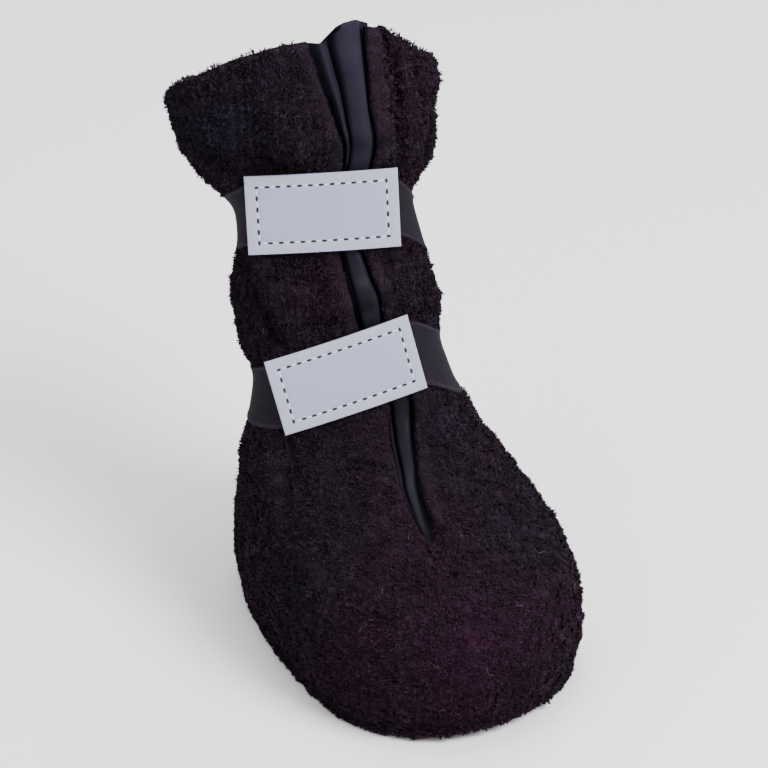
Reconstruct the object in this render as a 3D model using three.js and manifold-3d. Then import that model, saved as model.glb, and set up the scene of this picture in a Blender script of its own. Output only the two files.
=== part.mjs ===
// A dog's winter shoe in pile fleece: a hollow upper slit down the front, a softshell gusset
// in the slit, a thin outsole, an insole, and two elastic straps under reflective tabs.
// Millimetres, +Z up, toe towards -Y, the origin on the floor under the middle of the sole.

import * as THREE from "three";
import { mergeVertices } from "three/addons/utils/BufferGeometryUtils.js";
import Module from "manifold-3d";

const wasm = await Module();
wasm.setup();

// Foot
const FOOT_LENGTH = 138;
const FOOT_WIDTH = 94;
const SOLE_THICKNESS = 2.4;
const SOLE_RIM = 0.8;
const SOLE_EDGE_ROUND = 0.8;
const TOE_SPRING = 4;
const INSOLE_THICKNESS = 2.4;

// Shaft
const ANKLE_HEIGHT = 84;
const ANKLE_FROM_HEEL = 33;
const SHAFT_LENGTH = 105;
const SHAFT_LEAN = 17;
const WAIST_WIDTH = 62;
const WAIST_DEPTH = 46;
const COLLAR_WIDTH = 90;
const COLLAR_DEPTH = 60;
const RIM_DROOP = 14;
const WALL = 2.6;

// Gusset
const SLIT_WIDTH = 18;
const GUSSET_MARGIN = 5;
const GUSSET_THICKNESS = 1;
const GUSSET_BEHIND = 0.9;
const PLEAT_DEPTH = 8;
const GUSSET_STANDS = 1;
const SLIT_DROP = 1.6;

// Straps and tabs
const STRAP_WIDTH = 21;
const STRAP_THICKNESS = 1.2;
const STRAP_PINCH = 3.6;
const LOWER_STRAP_AT = 3;
const STRAP_SPACING = 53;
const STRAP_END_GAP = 8;
const TAB_LENGTH = 49.5;
const TAB_HEIGHT = 26.4;
const TAB_THICKNESS = 0.9;
const TAB_BOW = 2.6;
const TAB_CURL = 1.2;

// Between pieces that touch on the real shoe
const CLEARANCE = 0.3;

const TURN = 2 * Math.PI;
const SOLE_TOP = SOLE_THICKNESS + CLEARANCE;
const ankleY = FOOT_LENGTH / 2 - ANKLE_FROM_HEEL;
const lean = THREE.MathUtils.degToRad(SHAFT_LEAN);
const shaftAxis = new THREE.Vector3(0, Math.sin(lean), Math.cos(lean));

// Foot sections, from the sole seam up. front and back are shares of FOOT_LENGTH from the middle,
// the heights are shares of the way from the sole's top to ANKLE_HEIGHT, and width is the
// section's full width as a share of FOOT_WIDTH. widest is where it is widest, as a share of the
// way from back to front, and the two bends are the exponents of its front and back arcs.
const FOOT_SECTIONS = [
  { name: "seam edge", front: -0.486, back: 0.486, frontHeight: 0, backHeight: 0, width: 0.957, widest: 0.64,
    frontBend: 2.1, backBend: 2.6 },
  { name: "above seam", front: -0.496, back: 0.494, frontHeight: 0.055, backHeight: 0.055, width: 0.985,
    widest: 0.64, frontBend: 2.1, backBend: 2.6 },
  { name: "bulge", front: -0.504, back: 0.5, frontHeight: 0.18, backHeight: 0.18, width: 1.013, widest: 0.64,
    frontBend: 2.12, backBend: 2.6 },
  { name: "side", front: -0.489, back: 0.495, frontHeight: 0.33, backHeight: 0.315, width: 1.009, widest: 0.63,
    frontBend: 2.15, backBend: 2.6 },
  { name: "shoulder", front: -0.437, back: 0.485, frontHeight: 0.462, backHeight: 0.425, width: 0.98,
    widest: 0.61, frontBend: 2.2, backBend: 2.5 },
  { name: "crown", front: -0.35, back: 0.474, frontHeight: 0.55, backHeight: 0.495, width: 0.95,
    widest: 0.58, frontBend: 2.25, backBend: 2.45 },
  { name: "toe top", front: -0.25, back: 0.466, frontHeight: 0.607, backHeight: 0.555, width: 0.92,
    widest: 0.55, frontBend: 2.25, backBend: 2.4 },
  { name: "slit foot", front: -0.185, back: 0.458, frontHeight: 0.645, backHeight: 0.613, width: 0.893,
    widest: 0.52, frontBend: 2.25, backBend: 2.35 },
  { name: "instep", front: -0.07, back: 0.451, frontHeight: 0.735, backHeight: 0.67, width: 0.862,
    widest: 0.5, frontBend: 2.2, backBend: 2.3 },
  { name: "throat", front: -0.005, back: 0.444, frontHeight: 0.84, backHeight: 0.728, width: 0.827,
    widest: 0.5, frontBend: 2.2, backBend: 2.25 },
  { name: "under strap", front: 0.048, back: 0.438, frontHeight: 0.96, backHeight: 0.79, width: 0.797,
    widest: 0.5, frontBend: 2.15, backBend: 2.2 },
];

// Shaft sections, up the leaning axis. at is a share of SHAFT_LENGTH, flare goes from the waist's
// size at 0 to the collar's at 1, tilt is how far the front stands above the back, in degrees, and
// twist is how far the soft shaft has turned on the foot, its right side forward.
const SHAFT_SECTIONS = [
  { name: "ankle", at: 0.03, flare: 0.27, tilt: 22, twist: 1 },
  { name: "between straps", at: 0.3, flare: 0.19, tilt: 24, twist: 13 },
  { name: "upper strap", at: 0.55, flare: 0, tilt: 27, twist: 28 },
  { name: "above strap", at: 0.68, flare: 0.3, tilt: 29, twist: 22 },
  { name: "flare", at: 0.84, flare: 0.86, tilt: 30, twist: 9 },
  { name: "collar", at: 1, flare: 1, tilt: 30, twist: 5 },
];
const SHAFT_BEND = 2.15;

// Rim height round the collar: angle in degrees from the front, rise as a share of RIM_DROOP.
const RIM_TABLE = [
  { angle: -180, rise: -0.6 },
  { angle: -110, rise: -0.05 },
  { angle: -60, rise: 0.3 },
  { angle: -30, rise: 0.4 },
  { angle: -9, rise: 0.34 },
  { angle: 9, rise: 0.52 },
  { angle: 22, rise: 0.42 },
  { angle: 48, rise: -0.3 },
  { angle: 85, rise: -0.9 },
  { angle: 130, rise: -0.95 },
  { angle: 180, rise: -0.6 },
];

// Slit width, as a share of SLIT_WIDTH, by height. from 0 at the lower strap to 1 at the collar,
// and down to -1 at the slit's foot.
const SLIT_TABLE = [
  { at: -1, width: 0 },
  { at: -0.93, width: 0.2 },
  { at: -0.8, width: 0.33 },
  { at: -0.6, width: 0.38 },
  { at: 0, width: 0.45 },
  { at: 0.25, width: 0.56 },
  { at: 0.443, width: 0.56 },
  { at: 0.7, width: 0.84 },
  { at: 1, width: 1 },
];

// The gusset across: side is a share of the slit's half width, in depth a share of PLEAT_DEPTH,
// 0 at the fleece's face. Beyond the two edges it runs on behind the fleece.
const PLEAT_TABLE = [
  { side: -0.78, depth: 0.06 },
  { side: -0.42, depth: 0.04 },
  { side: -0.24, depth: 0.45 },
  { side: -0.12, depth: 1 },
  { side: 0.0, depth: 0.42 },
  { side: 0.14, depth: 0 },
  { side: 0.46, depth: -0.1 },
  { side: 0.76, depth: 0.04 },
];

// The straps: height up the shaft, how far the right side runs above the left, and how far the
// back hangs below the front. tabMiddle is the tab's middle, measured round from the front.
const STRAPS = [
  {
    name: "upper",
    at: LOWER_STRAP_AT + STRAP_SPACING,
    uphill: -0.33 * STRAP_WIDTH,
    sag: 0.48 * STRAP_WIDTH,
    tabMiddle: -0.22 * TAB_LENGTH,
  },
  {
    name: "lower",
    at: LOWER_STRAP_AT,
    uphill: 0.05 * STRAP_WIDTH,
    sag: 0.38 * STRAP_WIDTH,
    tabMiddle: -0.24 * TAB_LENGTH,
  },
];

// A smooth curve through table values that never overshoots them.
function curveThrough(knots, values) {
  const count = knots.length;
  const slopes = [];
  for (let i = 0; i < count - 1; i++) {
    slopes.push((values[i + 1] - values[i]) / (knots[i + 1] - knots[i]));
  }
  const tangents = [slopes[0]];
  for (let i = 1; i < count - 1; i++) {
    const before = slopes[i - 1];
    const after = slopes[i];
    const steady = before * after > 0;
    tangents.push(steady ? (2 * before * after) / (before + after) : 0);
  }
  tangents.push(slopes[count - 2]);
  return (at) => {
    let i = 0;
    while (i < count - 2 && at > knots[i + 1]) i++;
    const span = knots[i + 1] - knots[i];
    const t = THREE.MathUtils.clamp((at - knots[i]) / span, 0, 1);
    const t2 = t * t;
    const t3 = t2 * t;
    const start = (2 * t3 - 3 * t2 + 1) * values[i] + (t3 - 2 * t2 + t) * span * tangents[i];
    const end = (3 * t2 - 2 * t3) * values[i + 1] + (t3 - t2) * span * tangents[i + 1];
    return start + end;
  };
}

function tableCurve(table, knot, column) {
  return curveThrough(table.map((row) => row[knot]), table.map((row) => row[column]));
}

// Every section as measures in mm, with its level: mm up the shaft from the lower strap.
function footSection(row) {
  const reach = ANKLE_HEIGHT - SOLE_TOP;
  const frontZ = SOLE_TOP + row.frontHeight * reach;
  const backZ = SOLE_TOP + row.backHeight * reach;
  return {
    level: (frontZ + backZ) / 2 - ANKLE_HEIGHT,
    frontY: row.front * FOOT_LENGTH,
    frontZ,
    backY: row.back * FOOT_LENGTH,
    backZ,
    halfWidth: (row.width * FOOT_WIDTH) / 2,
    widest: row.widest,
    frontBend: row.frontBend,
    backBend: row.backBend,
    twist: 0,
  };
}

function shaftSection(row) {
  const tilt = THREE.MathUtils.degToRad(row.tilt);
  const level = row.at * SHAFT_LENGTH;
  const centreY = ankleY + level * shaftAxis.y;
  const centreZ = ANKLE_HEIGHT + level * shaftAxis.z;
  const halfDepth = THREE.MathUtils.lerp(WAIST_DEPTH, COLLAR_DEPTH, row.flare) / 2;
  return {
    level,
    frontY: centreY - halfDepth * Math.cos(tilt),
    frontZ: centreZ + halfDepth * Math.sin(tilt),
    backY: centreY + halfDepth * Math.cos(tilt),
    backZ: centreZ - halfDepth * Math.sin(tilt),
    halfWidth: THREE.MathUtils.lerp(WAIST_WIDTH, COLLAR_WIDTH, row.flare) / 2,
    widest: 0.5,
    frontBend: SHAFT_BEND,
    backBend: SHAFT_BEND,
    twist: THREE.MathUtils.degToRad(row.twist),
  };
}

const sections = [...FOOT_SECTIONS.map(footSection), ...SHAFT_SECTIONS.map(shaftSection)];
const MEASURES = Object.keys(sections[0]).filter((key) => key !== "level");
const measureCurves = {};
for (const key of MEASURES) {
  measureCurves[key] = tableCurve(sections, "level", key);
}
const LOWEST = sections[0].level;
const HIGHEST = SHAFT_LENGTH;

// One closed section, as points evenly spaced round it from the front by way of +X.
const ARC_SAMPLES = 240;
const sectionCache = new Map();

function powerArc(angle, bend) {
  return Math.sign(Math.sin(angle)) * Math.abs(Math.sin(angle)) ** (2 / bend);
}

// How far round the outline its front lies, straight ahead of the middle.
function frontLength(outline, lengths) {
  let i = 0;
  while (outline[i + 1].x < 0) i++;
  const part = -outline[i].x / (outline[i + 1].x - outline[i].x);
  return THREE.MathUtils.lerp(lengths[i], lengths[i + 1], part);
}

function sectionAt(level) {
  const known = sectionCache.get(level);
  if (known) return known;
  const m = {};
  for (const key of MEASURES) {
    m[key] = measureCurves[key](level);
  }
  const run = Math.hypot(m.frontY - m.backY, m.frontZ - m.backZ);
  const alongY = (m.frontY - m.backY) / run;
  const alongZ = (m.frontZ - m.backZ) / run;
  const outline = [];
  const lengths = [0];
  for (let i = 0; i <= ARC_SAMPLES; i++) {
    const angle = (TURN * i) / ARC_SAMPLES;
    const front = Math.cos(angle) >= 0;
    const bend = front ? m.frontBend : m.backBend;
    const reach = front ? (1 - m.widest) * run : m.widest * run;
    const wide = m.halfWidth * powerArc(angle, bend);
    const ahead = reach * powerArc(Math.PI / 2 - angle, bend);
    const x = wide * Math.cos(m.twist) - ahead * Math.sin(m.twist);
    const s = m.widest * run + wide * Math.sin(m.twist) + ahead * Math.cos(m.twist);
    outline.push({ x, s });
    if (i > 0) {
      const last = outline[i - 1];
      lengths.push(lengths[i - 1] + Math.hypot(x - last.x, s - last.s));
    }
  }
  const front = frontLength(outline, lengths);
  const found = { ...m, alongY, alongZ, outline, lengths, front, perimeter: lengths[ARC_SAMPLES] };
  sectionCache.set(level, found);
  return found;
}

function pointOnSection(section, angle) {
  const round = (angle / TURN) * section.perimeter + section.front;
  const wanted = THREE.MathUtils.euclideanModulo(round, section.perimeter);
  let low = 0;
  let high = ARC_SAMPLES;
  while (high - low > 1) {
    const middle = (low + high) >> 1;
    if (section.lengths[middle] <= wanted) low = middle;
    else high = middle;
  }
  const part = (wanted - section.lengths[low]) / (section.lengths[high] - section.lengths[low]);
  const a = section.outline[low];
  const b = section.outline[high];
  const s = THREE.MathUtils.lerp(a.s, b.s, part);
  return new THREE.Vector3(
    THREE.MathUtils.lerp(a.x, b.x, part),
    section.backY + s * section.alongY,
    section.backZ + s * section.alongZ,
  );
}

// Where each strap's middle runs, as a level for each angle round the shoe.
function strapLevel(strap, angle) {
  return strap.at + strap.uphill * Math.sin(angle) - (strap.sag * (1 - Math.cos(angle))) / 2;
}

// How much the straps draw the fleece in, 0 to 1: flat under the strap, fading past its edges.
const PINCH_REACH = STRAP_WIDTH * 0.68;

function pinchAt(level, angle) {
  let most = 0;
  for (const strap of STRAPS) {
    const away = (level - strapLevel(strap, angle)) / PINCH_REACH;
    most = Math.max(most, Math.exp(-(away ** 4)));
  }
  return most;
}

// The toe's lift from the floor. It fades out by the ankle.
const SPRING_START = 0.28 * FOOT_LENGTH;
const SPRING_RUN = 0.22 * FOOT_LENGTH;

function toeLift(y) {
  const past = Math.max(0, (-y - SPRING_START) / SPRING_RUN);
  return TOE_SPRING * past * past;
}

const RIM_START = LOWER_STRAP_AT + STRAP_SPACING + STRAP_WIDTH * 0.75;
const rimCurve = tableCurve(RIM_TABLE, "angle", "rise");

function rimRise(level, angle) {
  const signed = THREE.MathUtils.radToDeg(Math.atan2(Math.sin(angle), Math.cos(angle)));
  const share = THREE.MathUtils.smoothstep(level, RIM_START, HIGHEST);
  return RIM_DROOP * rimCurve(signed) * share;
}

// The fleece's outer face as the straps draw it in: level up the shoe, angle round it.
function drawnPoint(level, angle) {
  const section = sectionAt(level);
  const point = pointOnSection(section, angle);
  const middle = new THREE.Vector3(0, (section.frontY + section.backY) / 2, (section.frontZ + section.backZ) / 2);
  const inward = middle.sub(point).normalize();
  point.addScaledVector(inward, STRAP_PINCH * pinchAt(level, angle));
  point.addScaledVector(shaftAxis, rimRise(level, angle));
  const fade = 1 - THREE.MathUtils.smoothstep(point.z, SOLE_TOP, ANKLE_HEIGHT);
  point.z += toeLift(point.y) * fade;
  return point;
}

// Each tab's seat: the stiff tab lies nearly flat across the strap, so its seat runs from end to
// end in a line, TAB_BOW out of it, and its ends curl back by TAB_CURL.
function tabSeat(strap) {
  const [left, right] = [-TAB_LENGTH / 2, TAB_LENGTH / 2].map((aside) => {
    const angle = angleFor(strap.at, strap.tabMiddle + aside);
    return drawnPoint(strapLevel(strap, angle), angle);
  });
  const along = right.clone().sub(left).normalize();
  const outward = along.clone().cross(shaftAxis).normalize();
  const middle = left.lerp(right, 0.5).addScaledVector(outward, TAB_BOW);
  return { strap, middle, along, outward, across: outward.clone().cross(along) };
}

function curlAt(alongMm) {
  return TAB_CURL * (alongMm / (TAB_LENGTH / 2)) ** 2;
}

const tabSeats = STRAPS.map(tabSeat);

// The tabs press the fleece flat behind them. The press fades out above and below the tab.
const PRESS_START = 0.58 * TAB_HEIGHT;
const PRESS_END = 0.95 * TAB_HEIGHT;
const PRESS_SOFTNESS = 1;

function pressed(point, level, angle) {
  for (const seat of tabSeats) {
    const away = Math.abs(level - strapLevel(seat.strap, angle));
    const hold = 1 - THREE.MathUtils.smoothstep(away, PRESS_START, PRESS_END);
    const from = point.clone().sub(seat.middle);
    const over = from.dot(seat.outward) + curlAt(from.dot(seat.along));
    const pressBy = PRESS_SOFTNESS * Math.log1p(Math.exp(over / PRESS_SOFTNESS));
    point.addScaledVector(seat.outward, -hold * pressBy);
  }
  return point;
}

function facePoint(level, angle) {
  const inRange = THREE.MathUtils.clamp(level, LOWEST, HIGHEST);
  const point = pressed(drawnPoint(inRange, angle), inRange, angle);
  return point.addScaledVector(shaftAxis, Math.max(0, level - HIGHEST));
}

const STEP_LEVEL = 0.4;
const STEP_ANGLE = 0.01;

function faceNormal(level, angle) {
  const up = facePoint(level + STEP_LEVEL, angle).sub(facePoint(level - STEP_LEVEL, angle));
  const round = facePoint(level, angle + STEP_ANGLE).sub(facePoint(level, angle - STEP_ANGLE));
  return round.cross(up).normalize();
}

// A point out from the outer face along its normal. Negative is into the wall.
function offFace(level, angle, out) {
  return facePoint(level, angle).addScaledVector(faceNormal(level, angle), out);
}

function angleFor(level, roundMm) {
  const section = sectionAt(THREE.MathUtils.clamp(level, LOWEST, HIGHEST));
  return (TURN * roundMm) / section.perimeter;
}

// Meshes from loops of points: each loop joined to the next, with or without closed ends.
function geometryFrom(points, faces) {
  const positions = new Float32Array(points.length * 3);
  points.forEach((point, i) => point.toArray(positions, i * 3));
  const geometry = new THREE.BufferGeometry();
  geometry.setAttribute("position", new THREE.BufferAttribute(positions, 3));
  geometry.setIndex(faces.flat());
  return geometry;
}

function bandFaces(loopCount, loopSize, joined) {
  const faces = [];
  const last = joined ? loopCount : loopCount - 1;
  for (let i = 0; i < last; i++) {
    const here = i * loopSize;
    const next = ((i + 1) % loopCount) * loopSize;
    for (let j = 0; j < loopSize; j++) {
      const k = (j + 1) % loopSize;
      faces.push([here + j, here + k, next + k], [here + j, next + k, next + j]);
    }
  }
  return faces;
}

// A cap over a loop whose points pair up side to side, as rungs of a ladder.
function ladderFaces(start, size, flipped) {
  const faces = [];
  for (let i = 0; i < size / 2; i++) {
    const right = start + i;
    const rightNext = start + i + 1;
    const left = start + ((size - i) % size);
    const leftNext = start + size - i - 1;
    if (right !== left) faces.push([right, left, leftNext]);
    if (rightNext !== leftNext) faces.push([right, leftNext, rightNext]);
  }
  return flipped ? faces.map(([a, b, c]) => [a, c, b]) : faces;
}

function loft(loops, ends) {
  const size = loops[0].length;
  const points = loops.flat();
  const faces = bandFaces(loops.length, size, ends === "joined");
  if (ends === "ladder") {
    faces.push(...ladderFaces(0, size, false));
    faces.push(...ladderFaces((loops.length - 1) * size, size, true));
  }
  return geometryFrom(points, faces);
}

function volumeOf(geometry) {
  const position = geometry.getAttribute("position");
  const index = geometry.getIndex();
  const a = new THREE.Vector3();
  const b = new THREE.Vector3();
  const c = new THREE.Vector3();
  let volume = 0;
  for (let i = 0; i < index.count; i += 3) {
    a.fromBufferAttribute(position, index.getX(i));
    b.fromBufferAttribute(position, index.getX(i + 1));
    c.fromBufferAttribute(position, index.getX(i + 2));
    volume += a.dot(b.cross(c)) / 6;
  }
  return volume;
}

// The same solid with its faces turned outwards.
function facingOut(geometry) {
  if (volumeOf(geometry) > 0) return geometry;
  const index = geometry.getIndex();
  const turned = [];
  for (let i = 0; i < index.count; i += 3) {
    turned.push(index.getX(i), index.getX(i + 2), index.getX(i + 1));
  }
  geometry.setIndex(turned);
  return geometry;
}

function toManifold(geometry) {
  const merged = mergeVertices(facingOut(geometry), 1e-4);
  const mesh = new wasm.Mesh({
    numProp: 3,
    vertProperties: new Float32Array(merged.getAttribute("position").array),
    triVerts: new Uint32Array(merged.getIndex().array),
  });
  return new wasm.Manifold(mesh);
}

function fromManifold(solid) {
  const mesh = solid.getMesh();
  const geometry = new THREE.BufferGeometry();
  geometry.setAttribute("position", new THREE.BufferAttribute(mesh.vertProperties, 3));
  geometry.setIndex(new THREE.BufferAttribute(mesh.triVerts, 1));
  return geometry;
}

function spread(from, to, steps) {
  return Array.from({ length: steps + 1 }, (_, i) => THREE.MathUtils.lerp(from, to, i / steps));
}

// The upper: the outer face, the inner face one wall in, a rolled rim at the collar and an open
// foot, with the slit cut down the front.
const UPPER_COLUMNS = 42;
const LEVEL_STEP = 6.2;
const RIM_ROLL_STEPS = 3;

function upperLevels() {
  const levels = [];
  for (let i = 0; i < sections.length - 1; i++) {
    const from = sections[i].level;
    const to = sections[i + 1].level;
    const steps = Math.max(2, Math.ceil((to - from) / LEVEL_STEP));
    levels.push(...spread(from, to, steps).slice(0, -1));
  }
  return [...levels, HIGHEST];
}

function wallLoop(level, out) {
  const loop = [];
  for (let i = 0; i < UPPER_COLUMNS; i++) {
    loop.push(offFace(level, (TURN * i) / UPPER_COLUMNS, out));
  }
  return loop;
}

function rimLoop(turn) {
  const lift = (WALL / 2) * Math.sin(turn);
  const out = -WALL / 2 + (WALL / 2) * Math.cos(turn);
  return wallLoop(HIGHEST, out).map((point) => point.addScaledVector(shaftAxis, lift));
}

const slitCurve = tableCurve(SLIT_TABLE, "at", "width");
const slitFoot = sections[FOOT_SECTIONS.findIndex((row) => row.name === "slit foot")].level - SLIT_DROP;

function slitHalf(level) {
  const at = level < 0 ? -level / slitFoot : level / SHAFT_LENGTH;
  return (SLIT_WIDTH * slitCurve(at)) / 2;
}

const CUT_REACH = WALL * 3;
const CUT_BEYOND = RIM_DROOP;
const CUT_START = WALL / 4;

function slitCutter() {
  const lowest = slitFoot + CUT_START;
  const levels = [lowest, ...upperLevels().filter((level) => level > lowest + CUT_START), HIGHEST + CUT_BEYOND];
  const loops = levels.map((level) => {
    const side = angleFor(level, slitHalf(level));
    return [
      offFace(level, side, CUT_REACH),
      offFace(level, side, -CUT_REACH),
      offFace(level, -side, -CUT_REACH),
      offFace(level, -side, CUT_REACH),
    ];
  });
  return toManifold(loft(loops, "ladder"));
}

function upper() {
  const levels = upperLevels();
  const outer = levels.map((level) => wallLoop(level, 0));
  const rim = [];
  for (let i = 1; i < RIM_ROLL_STEPS; i++) {
    rim.push(rimLoop((Math.PI * i) / RIM_ROLL_STEPS));
  }
  const inner = levels.map((level) => wallLoop(level, -WALL)).reverse();
  const shell = toManifold(loft([...outer, ...rim, ...inner], "joined"));
  return fromManifold(shell.subtract(slitCutter()));
}

// The gusset: one strip of softshell, folded into a pleat across the slit. Where the slit is too
// narrow for the pleat to stand out of it, the strip lies flat behind the fleece.
const NARROW_SLIT = 1.8;
const OPEN_SLIT = 4;

function pleatLine(level) {
  const half = slitHalf(level);
  const inside = Math.max(half - CLEARANCE - GUSSET_THICKNESS / 2, GUSSET_THICKNESS / 2);
  const behind = -WALL - GUSSET_BEHIND - GUSSET_THICKNESS / 2;
  const standsOut = THREE.MathUtils.smoothstep(half, NARROW_SLIT, OPEN_SLIT);
  const room = Math.min(1, half / (SLIT_WIDTH / 2));
  const flush = -GUSSET_THICKNESS / 2 - CLEARANCE;
  const held = pinchAt(level, 0);
  const line = [{ side: -inside - GUSSET_MARGIN, out: behind }, { side: -inside, out: behind }];
  for (const row of PLEAT_TABLE) {
    const free = -row.depth * PLEAT_DEPTH * room;
    const out = THREE.MathUtils.lerp(free, Math.min(free, flush), held);
    line.push({ side: row.side * inside, out: THREE.MathUtils.lerp(behind, out, standsOut) });
  }
  line.push({ side: inside, out: behind }, { side: inside + GUSSET_MARGIN, out: behind });
  return line;
}

// A line of points given a thickness: the loop that runs along one face and back along the other.
function thickened(line, thickness) {
  const faces = [[], []];
  line.forEach((point, i) => {
    const before = line[Math.max(0, i - 1)];
    const after = line[Math.min(line.length - 1, i + 1)];
    const run = Math.hypot(after.side - before.side, after.out - before.out);
    const acrossSide = -(after.out - before.out) / run;
    const acrossOut = (after.side - before.side) / run;
    faces.forEach((face, k) => {
      const shift = (k === 0 ? 0.5 : -0.5) * thickness;
      face.push({ side: point.side + acrossSide * shift, out: point.out + acrossOut * shift });
    });
  });
  return [...faces[0], ...faces[1].reverse()];
}

function stripCaps(loopCount, size) {
  const caps = [];
  const half = size / 2;
  const far = (loopCount - 1) * size;
  for (let i = 0; i < half - 1; i++) {
    const a = i;
    const b = i + 1;
    const c = size - 2 - i;
    const d = size - 1 - i;
    caps.push([a, c, b], [a, d, c]);
    caps.push([far + a, far + b, far + c], [far + a, far + c, far + d]);
  }
  return caps;
}

function stripSolid(loops) {
  const size = loops[0].length;
  const faces = [...bandFaces(loops.length, size, false), ...stripCaps(loops.length, size)];
  return facingOut(geometryFrom(loops.flat(), faces));
}

function gusset() {
  const lowest = slitFoot - GUSSET_MARGIN / 2;
  const between = upperLevels().filter((level) => level > lowest + GUSSET_THICKNESS);
  const levels = [lowest, ...between, HIGHEST + GUSSET_STANDS];
  const loops = levels.map((level) => {
    const loop = thickened(pleatLine(level), GUSSET_THICKNESS);
    return loop.map(({ side, out }) => offFace(level, angleFor(level, side), out));
  });
  return stripSolid(loops);
}

// The outsole and the insole: plates with the foot's outline, lifted at the toe.
const PLATE_POINTS = 56;

function plateLoop(inset, z) {
  const base = sectionAt(LOWEST);
  const loop = [];
  for (let i = 0; i < PLATE_POINTS; i++) {
    const angle = (TURN * i) / PLATE_POINTS;
    const point = pointOnSection(base, angle);
    const ahead = pointOnSection(base, angle + STEP_ANGLE);
    const behind = pointOnSection(base, angle - STEP_ANGLE);
    const outX = -(ahead.y - behind.y);
    const outY = ahead.x - behind.x;
    const size = Math.hypot(outX, outY);
    point.x += (inset * outX) / size;
    point.y += (inset * outY) / size;
    point.z = z + toeLift(point.y);
    loop.push(point);
  }
  return loop;
}

function plate(loops) {
  return facingOut(loft(loops, "ladder"));
}

function outsole() {
  return plate([
    plateLoop(-SOLE_RIM + SOLE_EDGE_ROUND, 0),
    plateLoop(-SOLE_RIM, SOLE_EDGE_ROUND),
    plateLoop(-SOLE_RIM, SOLE_THICKNESS - SOLE_EDGE_ROUND / 2),
    plateLoop(-SOLE_RIM + SOLE_EDGE_ROUND / 2, SOLE_THICKNESS),
  ]);
}

function insole() {
  const inset = WALL + CLEARANCE;
  return plate([
    plateLoop(inset, SOLE_TOP),
    plateLoop(inset, SOLE_TOP + INSOLE_THICKNESS),
  ]);
}

// A strap: an elastic band round the shaft, its two ends a small gap apart under the tab.
const STRAP_STEPS = 44;
const TAB_STEPS = 8;
const ACROSS_STEPS = 2;

function strapBand(strap) {
  const perimeter = sectionAt(strap.at).perimeter;
  const gapAngle = (TURN * STRAP_END_GAP) / perimeter;
  const middle = angleFor(strap.at, strap.tabMiddle);
  const angles = spread(middle + gapAngle / 2, middle + TURN - gapAngle / 2, STRAP_STEPS);
  const across = spread(-STRAP_WIDTH / 2, STRAP_WIDTH / 2, ACROSS_STEPS);
  const loops = angles.map((angle) => {
    const level = strapLevel(strap, angle);
    const face = (out) => across.map((aside) => offFace(level + aside, angle, out));
    return [...face(CLEARANCE), ...face(CLEARANCE + STRAP_THICKNESS).reverse()];
  });
  return stripSolid(loops);
}

// A tab: a stiff strip on its seat, over the strap.
function tab(seat) {
  const inner = 2 * CLEARANCE + STRAP_THICKNESS;
  const across = spread(-TAB_HEIGHT / 2, TAB_HEIGHT / 2, ACROSS_STEPS);
  const loops = spread(-TAB_LENGTH / 2, TAB_LENGTH / 2, TAB_STEPS).map((along) => {
    const place = (aside, out) => seat.middle.clone()
      .addScaledVector(seat.along, along)
      .addScaledVector(seat.across, aside)
      .addScaledVector(seat.outward, out - curlAt(along));
    const face = (out) => across.map((aside) => place(aside, out));
    return [...face(inner), ...face(inner + TAB_THICKNESS).reverse()];
  });
  return stripSolid(loops);
}

// Colours as in the photo: near-black fleece with a purple-brown tint, navy-black softshell.
const FINISHES = {
  fleece: { color: 0x17121a, roughness: 1, metalness: 0 },
  softshell: { color: 0x20202e, roughness: 0.75, metalness: 0 },
  sole: { color: 0x141316, roughness: 0.85, metalness: 0 },
  felt: { color: 0x1d1b20, roughness: 1, metalness: 0 },
  elastic: { color: 0x1c1a21, roughness: 0.9, metalness: 0 },
  reflective: { color: 0xb6b5c7, roughness: 0.55, metalness: 0.1 },
};

const shoe = new THREE.Group();

function addPiece(name, finish, geometry) {
  const mesh = new THREE.Mesh(geometry, new THREE.MeshStandardMaterial(FINISHES[finish]));
  mesh.name = name;
  shoe.add(mesh);
}

addPiece("upper", "fleece", upper());
addPiece("gusset", "softshell", gusset());
addPiece("outsole", "sole", outsole());
addPiece("insole", "felt", insole());
for (const seat of tabSeats) {
  addPiece(`strap_${seat.strap.name}`, "elastic", strapBand(seat.strap));
  addPiece(`tab_${seat.strap.name}`, "reflective", tab(seat));
}

export default shoe;
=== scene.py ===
# A dog's winter shoe in pile fleece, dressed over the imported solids: the fleece body with its
# creases and pile, the softshell pleat, ribbed elastic straps, stitched reflective tabs and sole.

import functools
import itertools
import math

import bmesh
import bpy
import numpy as np
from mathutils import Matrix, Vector

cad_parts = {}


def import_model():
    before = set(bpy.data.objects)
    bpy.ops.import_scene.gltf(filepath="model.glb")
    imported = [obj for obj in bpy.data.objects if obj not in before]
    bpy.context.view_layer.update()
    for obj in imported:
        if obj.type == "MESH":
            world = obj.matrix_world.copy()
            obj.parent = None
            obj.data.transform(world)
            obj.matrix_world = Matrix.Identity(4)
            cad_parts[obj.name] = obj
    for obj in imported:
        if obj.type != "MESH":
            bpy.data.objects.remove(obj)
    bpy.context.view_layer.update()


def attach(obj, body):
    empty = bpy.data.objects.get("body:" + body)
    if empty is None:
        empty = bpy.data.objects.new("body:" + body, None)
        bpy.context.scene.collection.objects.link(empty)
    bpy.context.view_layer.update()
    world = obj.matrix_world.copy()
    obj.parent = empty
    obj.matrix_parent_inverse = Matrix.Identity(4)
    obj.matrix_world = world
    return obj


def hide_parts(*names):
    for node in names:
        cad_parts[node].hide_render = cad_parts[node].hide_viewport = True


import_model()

MM = 0.001
TURN = 2 * math.pi

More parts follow.
